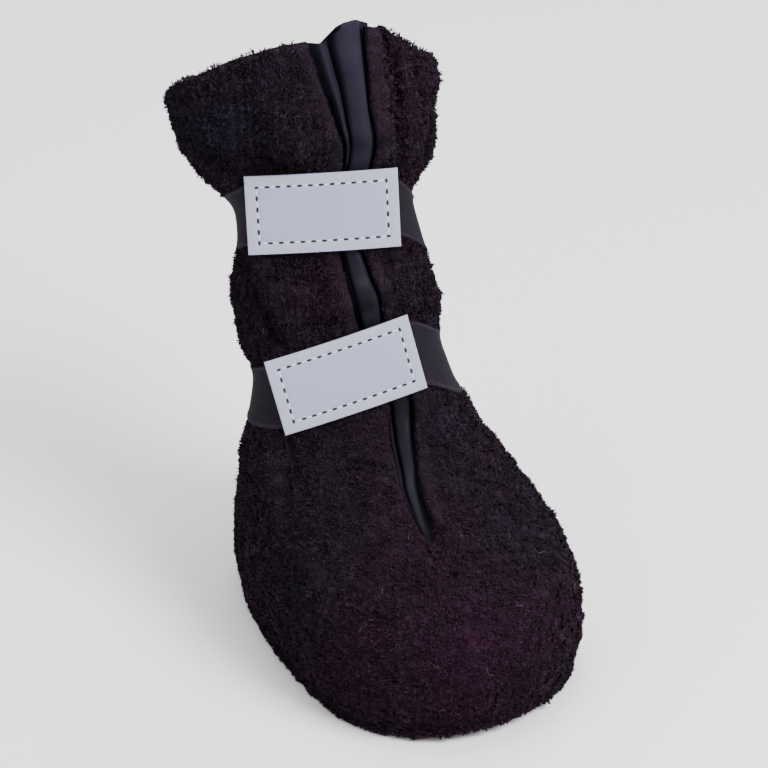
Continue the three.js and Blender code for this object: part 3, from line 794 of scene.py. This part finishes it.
def fleece_body():
    levels = body_levels()
    parts = [body_columns(level) for level in levels]
    angles, _, across = (np.array(part) for part in zip(*parts))
    shapes = [body_shape(level, *part) for level, part in zip(levels, parts)]
    outer, inner = (np.array(side) for side in zip(*shapes))
    rows, columns = outer.shape[:2]
    inner_pick = np.append(np.arange(0, columns - 1, 2), columns - 1)
    points = np.concatenate([outer.reshape(-1, 3), inner[:, inner_pick].reshape(-1, 3)])
    offset = rows * columns
    width = len(inner_pick)
    faces = grid_faces(rows, columns).tolist()
    faces += (grid_faces(rows, width)[:, ::-1] + offset).tolist()
    faces += edge_faces(levels, rows, columns, width, offset, inner_pick)
    piece = add_mesh("fleece_body", points, faces, FLEECE, node="upper")
    turn_outwards(piece, merge=0.02)
    return outer, angles, across, levels


def edge_faces(levels, rows, columns, width, offset, inner_pick):
    """The narrow faces that join the outer face to the inner one, at the slit and underneath."""
    faces = []
    for r in range(rows - 1):
        if slit_half(levels[r + 1]) < 0.05:
            continue
        a = r * columns
        b = offset + r * width
        faces.append([a, a + columns, b + width, b])
        a += columns - 1
        b += width - 1
        faces.append([a, b, b + width, a + columns])
    for k in range(width - 1):
        between = list(range(inner_pick[k], inner_pick[k + 1] + 1))
        faces.append([*between, offset + k + 1, offset + k])
        top = [(rows - 1) * columns + c for c in between]
        faces.append([*top[::-1], offset + (rows - 1) * width + k, offset + (rows - 1) * width + k + 1])
    return faces


# The pile: many short bent fibres that lie over along the nap and gather into tufts, joined in
# one mesh for each stretch.
PILE_HEIGHT = 1.5
PILE_WIDTH = 0.4
PILE_CORNERS = 5
TUFT_SIZE = 3
TUFT_HOLLOW = 0.7
FLOOR_GAP = 0.1


def scatter(grid, weights, count, chance):
    """Random places on a grid of points, evenly by area: place, normal, up, and row and column."""
    a, b = grid[:-1, :-1], grid[:-1, 1:]
    c, d = grid[1:, 1:], grid[1:, :-1]
    normal = np.cross(c - a, d - b)
    area = np.linalg.norm(normal, axis=-1) * weights
    share = np.cumsum(area.ravel())
    picks = np.searchsorted(share, chance.uniform(0, share[-1], count))
    r, k = np.unravel_index(picks, area.shape)
    u = chance.uniform(0, 1, count)[:, None]
    v = chance.uniform(0, 1, count)[:, None]
    place = mix(mix(a[r, k], b[r, k], u), mix(d[r, k], c[r, k], u), v)
    return place, unit(normal[r, k]), unit(d[r, k] - a[r, k]), (r, k)


def fibres(name, place, normal, up, row, chance, calm=1):
    """One joined mesh of bent blades, laid along the nap and drawn into tufts. calm shortens them."""
    count = len(place)
    side = np.cross(normal, up)
    swirl = soft_noise(place, 9, 21) * 2.6 * (1 - row["combed"])
    about = np.where(chance.uniform(size=count) < 0.5, 0, math.pi) + chance.normal(0, 0.5, count)
    heading = (about + swirl)[:, None]
    run = side * np.cos(heading) + up * np.sin(heading)
    middle, tuft, reach = tufts_of(place)
    clump = 0.8 + 0.3 * soft_noise(place, 6, 22) + chance.uniform(-0.25, 0.25, tuft.max() + 1)[tuft]
    clump = clump * (1 + TUFT_HOLLOW / 2 - TUFT_HOLLOW * reach)
    long = (row["length"] * calm * chance.uniform(0.6, 1.2, count))[:, None]
    rise = (PILE_HEIGHT * row["tall"] * calm * clump * chance.uniform(0.6, 1.1, count))[:, None]
    tip = place + normal * rise + run * long
    tip = mix(tip, middle + normal * rise * 1.15, row["tufted"])
    bend = place + normal * rise * 0.95 + run * long * 0.35
    lean = normal + 0.4 * chance.normal(size=(count, 3))
    across = unit(np.cross(tip - place, lean)) * (PILE_WIDTH / 2)
    root = place - normal * 0.25
    wide = across * 0.85
    corners = np.stack([root - across, root + across, bend - wide, bend + wide, tip], axis=1)
    corners[..., 2] = np.maximum(corners[..., 2], FLOOR_GAP)
    first = np.arange(count)[:, None] * PILE_CORNERS
    quads = first + [0, 1, 3, 2]
    tips = first + [2, 3, 4]
    piece = add_mesh(name, corners.reshape(-1, 3), quads.tolist() + tips.tolist(), PILE)
    # Painted shade: each blade is dark at its root and lighter at its bend and tip.
    keep_attribute(piece, "tip", np.tile([0, 0, 0.7, 0.7, 1], count))
    # pale: own tone by stretch, fibre and tuft, with painted shade towards each tuft's edge.
    pale = row["paler"] + 0.08 + 0.22 * chance.uniform(0, 1, count) ** 2 - 0.36 * (reach - 0.6)
    pale = pale + 0.4 * chance.uniform(0, 1, tuft.max() + 1)[tuft]
    keep_attribute(piece, "pale", np.repeat(pale, PILE_CORNERS))
    keep_attribute(piece, "warm", np.repeat(warmth(place), PILE_CORNERS))


def tufts_of(place):
    """Each fibre's tuft: the tuft's middle, its number, and how far out in it the fibre stands."""
    cells = np.floor(place / TUFT_SIZE + 0.3 * np.sin(place[:, [1, 2, 0]])).astype(int)
    _, tuft = np.unique(cells, axis=0, return_inverse=True)
    tuft = tuft.ravel()
    sums = np.stack([np.bincount(tuft, place[:, k]) for k in range(3)], axis=1)
    middle = (sums / np.bincount(tuft)[:, None])[tuft]
    reach = np.linalg.norm(place - middle, axis=1) / (TUFT_SIZE / 2)
    return middle, tuft, np.minimum(reach, 1.3)


# Broad shades of the dyed pile: a place on the shoe, its reach in mm, and warmer or bluer.
WARM_SPOTS = (
    ((-54, -22), 42, 0.4), ((-30, -14), 14, 0.2), ((-58, 36), 22, 0.08), ((-34, 44), 20, -0.12),
    ((-44, -78), 24, -0.24), ((86, 26), 16, 0.16), ((84, -64), 24, -0.24), ((30, 50), 22, 0.06),
    ((28, -30), 16, 0.2), ((24, -70), 16, -0.16),
)


def warmth(place):
    warm = 0.42 + 0.1 * soft_noise(place, 34, 23) + 0.07 * soft_noise(place, 12, 24)
    for (level, degrees), reach, strength in WARM_SPOTS:
        spot = plain.point(level, math.radians(degrees))
        away = np.linalg.norm(place - spot, axis=1)
        warm = warm + strength * np.exp(-((away / reach) ** 2))
    return warm


def under_strap(points, levels, angles, reach):
    """True where a strap or a tab covers the face."""
    covered = np.zeros(np.broadcast(levels, angles).shape, bool)
    for seat in SEATS.values():
        off = np.abs(levels - strap_level(seat.strap, angles))
        covered |= off < STRAP_WIDTH / 2 - reach
        along, aside, over = seat.measure(points)
        within = (np.abs(along) < TAB_LENGTH / 2 - reach) & (np.abs(aside) < TAB_HEIGHT / 2 - reach)
        covered |= within & (over > -TAB_HEIGHT / 2)
    return covered


# Each stretch of pile: levels from and to, then fibres, their length in mm, how high they stand,
# how far they are combed sideways and drawn into tufts, and how much paler they are.
PILE_COLUMNS = ("count", "length", "tall", "combed", "tufted", "paler")
PILE_STRETCHES = {
    "pile_toe": (-80.5, -44, 60000, 2.5, 0.85, 0.75, 0.4, -0.02),
    "pile_instep": (-44, -8, 52000, 2.4, 0.9, 0.5, 0.46, 0),
    "pile_shaft": (-8, 62, 38000, 2.2, 1, 0.2, 0.6, 0.1),
    "pile_collar": (62, 105, 44000, 2.2, 1.02, 0.05, 0.62, 0.2),
    "pile_hem": (HEM_START, 105, 4500, 1.5, 0.6, 0.1, 0.15, 0.25),
}
LINING_ROW = (15000, 1.8, 0.8, 0.2, 0.4, 0)
RIM_ROW = (9000, 1.2, 0.8, 0.5, 0.1, 0)
LINING_DEPTH = 45
LINING_STEPS = (60, 160)

# How much shorter the pile is at the slit's turned edges, and how far from them in mm.
SLIT_CALM = 0.72
SLIT_CALM_REACH = 6


def grow(name, grid, values, seed, wanted=1, calm=None):
    """A stretch of pile over a grid of points, where it is wanted and calmer where that is said."""
    row = dict(zip(PILE_COLUMNS, values))
    chance = np.random.default_rng(seed)
    count = int(row["count"] * (1))
    place, normal, up, cell = scatter(grid, wanted, count, chance)
    fibres(name, place, normal, up, row, chance, 1 if calm is None else calm[cell])


def body_pile(outer, angles, across, levels):
    mid_levels = (levels[:-1] + levels[1:])[:, None] / 2
    mid_angles = (angles[:-1, :-1] + angles[1:, 1:]) / 2
    across, whole = across[:-1, :-1], across[:-1, -1:]
    hem = (across < HEM_WIDTH) & (mid_levels > HEM_START)
    bare = under_strap(outer[:-1, :-1], mid_levels, mid_angles, 0.6)
    away = smoothstep(np.minimum(across, whole - across), SLIT_CALM_REACH / 3, SLIT_CALM_REACH)
    calm = 1 - SLIT_CALM * smoothstep(slit_half(mid_levels), 0.3, 2) * (1 - away)
    for seed, (name, (low, high, *values)) in enumerate(PILE_STRETCHES.items(), 100):
        wanted = (mid_levels >= low) & (mid_levels < high) & ~bare & (hem == (name == "pile_hem"))
        grow(name, outer, values, seed, wanted.astype(float), calm)


def lining_pile():
    """Shorter pile inside the collar, as far down as the eye reaches."""
    rows = []
    down, round_it = LINING_STEPS
    for level in np.linspace(HIGHEST - LINING_DEPTH, HIGHEST - 0.8, down):
        middle = slit_angle(level)
        half = float(plain.angle_for(level, slit_half(level) + GUSSET_MARGIN + 1))
        rows.append(plain.point(level, np.linspace(middle + TURN - half, middle + half, round_it), -WALL))
    grow("pile_lining", np.array(rows), LINING_ROW, 200)


def rim_fuzz():
    """Short fuzz over the sole's edge, so that no smooth band shows under the pile."""
    steps = ((0.5, 0.25), (0, 0.9), (0, 1.7), (0.6, SOLE_TOP))
    rows = [plate_loop(-SOLE_RIM + inset, z) for inset, z in steps]
    grow("pile_rim", np.array([np.concatenate([row, row[:1]]) for row in rows]), RIM_ROW, 210)


# Sheets made from a loop of points at each step: closed bands with thickness.
def loop_solid(name, loops, material, node):
    loops = np.asarray(loops)
    rows, size = loops.shape[:2]
    faces = grid_faces(rows, size, wrap=True).tolist()
    faces.append(list(range(size))[::-1])
    faces.append([(rows - 1) * size + k for k in range(size)])
    piece = add_mesh(name, loops.reshape(-1, 3), faces, material, node)
    turn_outwards(piece)
    return piece


# The gusset: one strip of softshell in a pleat, its margins behind the fleece.
GUSSET_ACROSS = 56
GUSSET_ROWS = 140

# The gusset's top edge: place across it from left to right, mm above the rim.
GUSSET_TOP = (
    (0, -1.2), (0.36, -1.2), (0.42, -3), (0.45, -5), (0.53, -5), (0.56, -2), (0.59, 0.2), (0.64, 1.7),
    (0.7, 2.2), (0.8, 1.9), (1, 0.8),
)
GUSSET_REACH = 2.2
GUSSET_SINK = 1.8
LOW_VALLEY = -0.84
HIGH_VALLEY = -0.27


def pleat_across(level):
    """The pleat: shares of the slit's half width and of PLEAT_DEPTH, with a valley left of the middle."""
    valley = mix(LOW_VALLEY, HIGH_VALLEY, float(smoothstep(level, 62, 92)))
    left = (valley - 1) / 2
    under = 0.8 * (1 - float(smoothstep(level, 58, 74)))
    return (
        (left - 0.08, under), (left, under), (valley - 0.1, max(0.3, under)), (valley, 1),
        (valley + 0.1, 0.45), (valley + 0.24, 0.03), (0.42, -0.11), (0.9, 0.05),
    )


def pleat_line(level):
    half = float(slit_half(level))
    inside = max(half - SLIT_EASE - GUSSET_THICKNESS / 2, GUSSET_THICKNESS / 2)
    behind = -WALL - GUSSET_BEHIND - GUSSET_THICKNESS / 2
    stands = float(smoothstep(half, 1.8, 4))
    room = min(1, half / (SLIT_WIDTH / 2))
    flush = -GUSSET_THICKNESS / 2 - CLEARANCE
    held = float(pinch_at(level, slit_angle(level)))
    sides = [-inside - GUSSET_MARGIN, -inside]
    outs = [behind, behind]
    for side, depth in pleat_across(level):
        free = -depth * PLEAT_DEPTH * room
        out = mix(free, min(free, flush), held)
        sides.append(side * inside)
        sunk = GUSSET_SINK * (1 - float(smoothstep(level, -16, -2)))
        outs.append(mix(behind, out - sunk, stands))
    sides += [inside, inside + GUSSET_MARGIN]
    outs += [behind, behind]
    return smoothed(sides), smoothed(outs)


def smoothed(values):
    """The pleat's corners as GUSSET_ACROSS even steps, with the corners rounded."""
    line = np.interp(np.linspace(0, 1, GUSSET_ACROSS), np.linspace(0, 1, len(values)), values)
    return np.convolve(np.pad(line, 2, mode="edge"), np.array([1, 2, 3, 2, 1]) / 9, mode="valid")


def gusset():
    levels = np.linspace(SLIT_FOOT - GUSSET_MARGIN / 2, HIGHEST + GUSSET_REACH, GUSSET_ROWS)
    thick = GUSSET_THICKNESS * 0.8
    loops = []
    places, heights = zip(*GUSSET_TOP)
    tops = HIGHEST + np.interp(np.linspace(0, 1, GUSSET_ACROSS), places, heights)
    for level in levels:
        side, out = pleat_line(level)
        level_across = np.minimum(level, tops - (HIGHEST + GUSSET_REACH - level) * 0.02)
        run_side, run_out = np.gradient(side), np.gradient(out)
        run = np.maximum(np.hypot(run_side, run_out), 1e-6)
        across_side, across_out = -run_out / run, run_side / run
        loop = []
        for shift, order in ((thick / 2, 1), (-thick / 2, -1)):
            s = side + across_side * shift
            o = out + across_out * shift
            angle = plain.angle_for(level, slit_middle(level) + s)
            loop.append(plain.point(level_across, angle, o)[::order])
        loops.append(np.concatenate(loop))
    piece = loop_solid("gusset_pleat", loops, SOFTSHELL, node="gusset")
    # A share of the gusset's height, read by the material to paint shade towards its foot.
    height = (levels - levels[0]) / (levels[-1] - levels[0])
    keep_attribute(piece, "height", np.repeat(height, 2 * GUSSET_ACROSS))


# The sole: a thin plate with a rounded rim, lifted at the toe, and a felt insole.
PLATE_POINTS = 240


def plate_loop(inset, z):
    angles = np.arange(PLATE_POINTS) / PLATE_POINTS * TURN
    row, _, _ = section_points(LOWEST, angles)
    run = np.roll(row, -1, axis=0) - np.roll(row, 1, axis=0)
    out = unit(np.stack([run[:, 1], -run[:, 0], np.zeros(len(row))], axis=1))
    row = row - out * inset
    row[:, 2] = z + toe_lift(row[:, 1])
    return row


def plate(name, profile, material, node):
    """A plate from (inset, height) steps up its side, with ladder faces over top and bottom."""
    loops = [plate_loop(inset, z) for inset, z in profile]
    points = np.concatenate(loops)
    faces = grid_faces(len(loops), PLATE_POINTS, wrap=True).tolist()
    last = (len(loops) - 1) * PLATE_POINTS
    for i in range(PLATE_POINTS // 2):
        left, left_next = (PLATE_POINTS - i) % PLATE_POINTS, PLATE_POINTS - i - 1
        faces.append([i, i + 1, left_next, left])
        faces.append([last + left, last + left_next, last + i + 1, last + i])
    faces = [list(dict.fromkeys(face)) for face in faces]
    faces = [face for face in faces if len(face) > 2]
    piece = add_mesh(name, points, faces, material, node)
    turn_outwards(piece, merge=0.001)
    return piece


def round_profile(outer, bottom, top, radius, steps=5):
    turns = np.linspace(0, math.pi / 2, steps)
    low = [(outer + radius * (1 - math.sin(t)), bottom + radius * (1 - math.cos(t))) for t in turns]
    high = [(outer + radius * (1 - math.cos(t)), top - radius * (1 - math.sin(t))) for t in turns]
    return low + high


def sole_pieces():
    plate("sole_plate", round_profile(-SOLE_RIM, 0, SOLE_THICKNESS, 1.3), SOLE, "outsole")
    inset = WALL + CLEARANCE
    top = SOLE_TOP + INSOLE_THICKNESS
    felt = plate("insole_felt", round_profile(inset, SOLE_TOP, top, 0.8), FELT, "insole")


# The straps: bands with lengthwise ribs and a thicker selvedge along both edges.
RIB_PITCH = 0.8
RIB_HEIGHT = 0.2
SELVEDGE_AT = 1
STRAP_STEPS = 170


def strap_profile():
    """The band's cross-section: mm across it, mm out from its inner face, and how pale it is painted: lighter
    on the raised ribs and selvedge, darker in the grooves.
    """
    across = np.arange(-STRAP_WIDTH / 2 + 0.15, STRAP_WIDTH / 2 - 0.14, RIB_PITCH / 4)
    rib = np.abs(np.sin(math.pi * (across + STRAP_WIDTH / 2) / RIB_PITCH))
    from_edge = STRAP_WIDTH / 2 - np.abs(across)
    selvedge = np.exp(-(((from_edge - SELVEDGE_AT) / 0.45) ** 2))
    fall = 0.5 * np.clip(1 - from_edge / 0.7, 0, 1) ** 2
    top = STRAP_THICKNESS - RIB_HEIGHT + RIB_HEIGHT * rib + 0.1 * selvedge - fall
    inner = np.linspace(STRAP_WIDTH / 2 - 0.1, -STRAP_WIDTH / 2 + 0.1, 12)
    outs = np.concatenate([top, np.full(len(inner), 0.0)])
    # Painted light: the ribs' crests and the selvedge are paler, the grooves between them darker.
    pale = np.concatenate([0.65 * rib + 0.8 * selvedge, np.zeros(len(inner))])
    return np.concatenate([across, inner]), outs, pale


def strap_band(name, strap):
    gap = float(plain.angle_for(strap["at"], STRAP_END_GAP))
    middle = float(plain.angle_for(strap["at"], strap["tab_middle"]))
    angles = np.linspace(middle + gap / 2, middle + TURN - gap / 2, STRAP_STEPS)
    across, out, pale = strap_profile()
    loops = []
    for angle in angles:
        level = strap_level(strap, angle) + across
        loops.append(plain.point(level, np.full(len(across), angle), CLEARANCE + out))
    piece = loop_solid(f"elastic_{name}", loops, ELASTIC, node=f"strap_{name}")
    keep_attribute(piece, "pale", np.tile(pale, STRAP_STEPS))
    lengths = np.arange(STRAP_STEPS) * float(plain.girth(strap["at"])) / STRAP_STEPS
    keep_attribute(piece, "along", np.repeat(lengths, len(across)))
    length = float(plain.girth(strap["at"])) - STRAP_END_GAP


# The tabs: reflective cloth with a stitched border.
STITCH_INSET = 3.8
STITCH_PITCH = 3.6
THREAD_LENGTH = 2
THREAD_RADIUS = 0.42
# The dips are dark dashes of painted shadow where the thread pulls into the cloth.
DIP_LENGTH = 2
DIP_RADIUS = 0.5
SEAM_DEPTH = 0.2
TAB_EDGE = np.array([0, 0.08, 0.2, 0.35])
TAB_COLUMNS = 84
TAB_ROWS = 42


def tab_place(seat, along, aside, out):
    """A place on a tab: mm along it and across it from its middle, and mm out."""
    along, aside, out = np.broadcast_arrays(along, aside, out)
    inner = 2 * CLEARANCE + STRAP_THICKNESS
    lift = (inner + out - curl_at(along))[..., None]
    return seat.middle + seat.along * along[..., None] + seat.across * aside[..., None] + seat.outward * lift


def seam_dip(along, aside):
    """How the stitching draws the tab's cloth down along its border."""
    off_x = TAB_LENGTH / 2 - STITCH_INSET - np.abs(along)
    off_y = TAB_HEIGHT / 2 - STITCH_INSET - np.abs(aside)
    inside = np.minimum(off_x, off_y)
    return -SEAM_DEPTH * np.exp(-((inside / 0.8) ** 2))


def tab_steps(length, count):
    """Steps across a tab, closer at its rounded edges."""
    inner = np.linspace(0.8, length - 0.8, count)
    return np.concatenate([TAB_EDGE, inner, length - TAB_EDGE[::-1]]) - length / 2


def tab_sheet(name, seat):
    u, v = np.meshgrid(tab_steps(TAB_LENGTH, TAB_COLUMNS), tab_steps(TAB_HEIGHT, TAB_ROWS))
    from_edge = np.minimum(TAB_LENGTH / 2 - np.abs(u), TAB_HEIGHT / 2 - np.abs(v))
    radius = TAB_EDGE[-1]
    round_off = radius * (1 - np.sqrt(1 - np.clip(1 - from_edge / radius, 0, 1) ** 2))
    top = tab_place(seat, u, v, TAB_THICKNESS - round_off + seam_dip(u, v))
    bottom = tab_place(seat, u, v, round_off * 0.8)
    height, width = u.shape
    points = np.concatenate([top.reshape(-1, 3), bottom.reshape(-1, 3)])
    offset = height * width
    faces = grid_faces(height, width).tolist()
    faces += (grid_faces(height, width)[:, ::-1] + offset).tolist()
    index = np.arange(offset).reshape(height, width)
    edges = [*index[0], *index[1:, -1], *index[-1, -2::-1], *index[-2:0:-1, 0]]
    for a, b in zip(edges, edges[1:] + edges[:1]):
        faces.append([a, a + offset, b + offset, b])
    piece = add_mesh(f"reflective_{name}", points, faces, TAB, f"tab_{name}")
    turn_outwards(piece)
    keep_attribute(piece, "margin", np.tile((from_edge < STITCH_INSET).ravel(), 2))
    sewing = tab_stitches(name, seat)


def border_walk(length, height, inset, pitch):
    """Places along a rectangle's stitched border: along, aside and the walk's direction."""
    half_x, half_y = length / 2 - inset, height / 2 - inset
    corners = [(-half_x, -half_y), (half_x, -half_y), (half_x, half_y), (-half_x, half_y)]
    walk = []
    for (ax, ay), (bx, by) in zip(corners, corners[1:] + corners[:1]):
        side = math.hypot(bx - ax, by - ay)
        count = round(side / pitch)
        for i in range(count):
            share = (i + 0.5) / count
            walk.append((mix(ax, bx, share), mix(ay, by, share), (bx - ax) / side, (by - ay) / side))
    return walk


def capsules(name, dashes, radius, flatness, material):
    """Short rounded dashes, each from its start to its end, arched out of the cloth."""
    sides, steps = 8, 7
    points, faces = [], []
    for start, end, normal in dashes:
        run = unit(end - start)
        across = unit(np.cross(run, normal))
        base = len(points)
        for i in range(steps):
            share = i / (steps - 1)
            swell = math.sqrt(max(0.06, 1 - (2 * share - 1) ** 2)) * radius
            points += ring(mix(start, end, share), across * swell, normal * (swell * flatness), sides)
        faces += (grid_faces(steps, sides, wrap=True) + base).tolist()
        faces.append([base + k for k in range(sides)][::-1])
        faces.append([base + (steps - 1) * sides + k for k in range(sides)])
    return add_mesh(name, points, faces, material)


def ring(centre, across, out, sides):
    turns = [TURN * k / sides for k in range(sides)]
    return [centre + across * math.cos(turn) + out * math.sin(turn) for turn in turns]


def tab_stitches(name, seat):
    """White thread between dark dashes of painted shadow where it dips into the cloth."""
    threads, dips = [], []
    for along, aside, run_x, run_y in border_walk(TAB_LENGTH, TAB_HEIGHT, STITCH_INSET, STITCH_PITCH):
        threads.append(dash(seat, along, aside, run_x, run_y, THREAD_LENGTH))
        dip_x = along + run_x * STITCH_PITCH / 2
        dip_y = aside + run_y * STITCH_PITCH / 2
        dips.append(dash(seat, dip_x, dip_y, run_x, run_y, DIP_LENGTH))
    return [
        capsules(f"thread_{name}", threads, THREAD_RADIUS, 0.5, THREAD),
        capsules(f"dips_{name}", dips, DIP_RADIUS, 0.25, PAINTED_HOLE_SHADOW),
    ]


def dash(seat, along, aside, run_x, run_y, length):
    """A dash's two ends and the direction out of the tab there."""
    top = TAB_THICKNESS - SEAM_DEPTH
    start = tab_place(seat, along - run_x * length / 2, aside - run_y * length / 2, top)
    end = tab_place(seat, along + run_x * length / 2, aside + run_y * length / 2, top)
    return start, end, seat.outward


# Stray pale hairs caught in the pile, a few placed where they show and the rest by chance.
HAIR_RADIUS = 0.045
PLACED_HAIRS = (
    (-36, 22, 3.4), (-41, 33, 4.2), (-46, 10, 3), (-33, 2, 3.2), (-30, -16, 3.6), (-57, -8, 4.6),
    (-62, 24, 3), (-38, -34, 2.6), (-19, 26, 2.8), (86, -24, 2.6), (-50, 38, 3.2), (-54, -22, 2.4),
)
CHANCE_HAIRS = 26


def hairs():
    chance = np.random.default_rng(300)
    placed = list(PLACED_HAIRS)
    for _ in range(CHANCE_HAIRS):
        placed.append((chance.uniform(-76, 100), chance.uniform(-180, 180), chance.uniform(1.4, 3.2)))
    points, faces = [], []
    for level, degrees, length in placed:
        angle = math.radians(degrees)
        if under_strap(fleece.point(level, angle), np.array(level), np.array(angle), -1):
            continue
        hair(points, faces, level, angle, length, chance)
    add_mesh("stray_hairs", points, faces, LINT)


def hair(points, faces, level, angle, length, chance):
    place = fleece.point(level, angle, PILE_HEIGHT)
    normal = fleece.normal(level, angle)
    side = unit(np.cross(normal, AXIS))
    up = np.cross(side, normal)
    heading = chance.uniform(0, TURN)
    curl = chance.uniform(-1.3, 1.3)
    steps, sides = 9, 4
    faces += (grid_faces(steps, sides, wrap=True) + len(points)).tolist()
    for i in range(steps):
        turn = heading + curl * i / steps * 1.6
        step = side * math.cos(turn) + up * math.sin(turn)
        place = place + step * length / steps + normal * 0.25 * math.sin(i * 0.9)
        points += ring(place, np.cross(step, normal) * HAIR_RADIUS, normal * HAIR_RADIUS, sides)


body_pile(*fleece_body())
lining_pile()
rim_fuzz()
gusset()
sole_pieces()
for strap_name, tab_seat in SEATS.items():
    strap_band(strap_name, tab_seat.strap)
    tab_sheet(strap_name, tab_seat)
hairs()

# The stage: a pale floor that curves up behind, soft studio lights and the photo's view.
VIEW_AZIMUTH = 30
VIEW_ELEVATION = 34
VIEW_DISTANCE = 1.2
VIEW_TARGET = Vector((-0.001, 0.010, 0.0905))
PHOTO_SCALE = 2.36 / MM
FRAME_PIXELS = 768
ENLARGED = 1.3
SENSOR = 36
FLOOR_HALF = 2.4
FLOOR_COLOR = (0.82, 0.82, 0.83)
WORLD_STRENGTH = 0.75

# Each lamp's azimuth and elevation in degrees, distance and size in m, and power in W.
LAMPS = {"key": (-28, 46, 1.3, 0.6, 34), "fill": (85, 30, 1.4, 1.1, 9), "top": (200, 72, 1.2, 0.8, 14)}


def floor():
    size, rise, bend = 1.6, 1.4, 0.5
    curve = np.linspace(0, math.pi / 2, 15)
    depths = [-size, *(size - bend + bend * np.sin(curve)), size]
    heights = [0, *(bend - bend * np.cos(curve)), rise]
    c, s = math.cos(math.radians(VIEW_AZIMUTH)), math.sin(math.radians(VIEW_AZIMUTH))
    points = []
    for depth, z in zip(depths, heights):
        for side in (-FLOOR_HALF, FLOOR_HALF):
            points.append((side * c + depth * s, depth * c - side * s, z))
    faces = [[2 * i, 2 * i + 1, 2 * i + 3, 2 * i + 2] for i in range(len(depths) - 1)]
    mesh = bpy.data.meshes.new("floor")
    mesh.from_pydata(points, [], faces)
    piece = bpy.data.objects.new("floor", mesh)
    bpy.context.scene.collection.objects.link(piece)
    mesh.materials.append(Surface("floor", FLOOR_COLOR, 0.9).material)


def aim(name, data, azimuth, elevation, distance):
    """A lamp or camera that looks at the shoe, from angles in degrees."""
    thing = bpy.data.objects.new(name, data)
    a, e = math.radians(azimuth), math.radians(elevation)
    direction = Vector((-math.sin(a) * math.cos(e), -math.cos(a) * math.cos(e), math.sin(e)))
    thing.location = VIEW_TARGET + direction * distance
    thing.rotation_euler = direction.to_track_quat("Z", "Y").to_euler()
    bpy.context.scene.collection.objects.link(thing)
    return thing


def area_light(name, azimuth, elevation, distance, size, power):
    data = bpy.data.lights.new(name, "AREA")
    data.shape = "SQUARE"
    data.size = size
    data.energy = power
    aim(name, data, azimuth, elevation, distance)


def world():
    scene_world = bpy.data.worlds.new("studio")
    scene_world.use_nodes = True
    background = scene_world.node_tree.nodes["Background"]
    background.inputs["Color"].default_value = (1, 1, 1, 1)
    background.inputs["Strength"].default_value = WORLD_STRENGTH
    bpy.context.scene.world = scene_world


def camera():
    data = bpy.data.cameras.new("camera")
    data.sensor_width = SENSOR
    data.lens = SENSOR * VIEW_DISTANCE * PHOTO_SCALE * ENLARGED / FRAME_PIXELS
    data.clip_start = 0.05
    data.clip_end = 20
    bpy.context.scene.camera = aim("camera", data, VIEW_AZIMUTH, VIEW_ELEVATION, VIEW_DISTANCE)


floor()
world()
for lamp_name, lamp in LAMPS.items():
    area_light(lamp_name, *lamp)
camera()
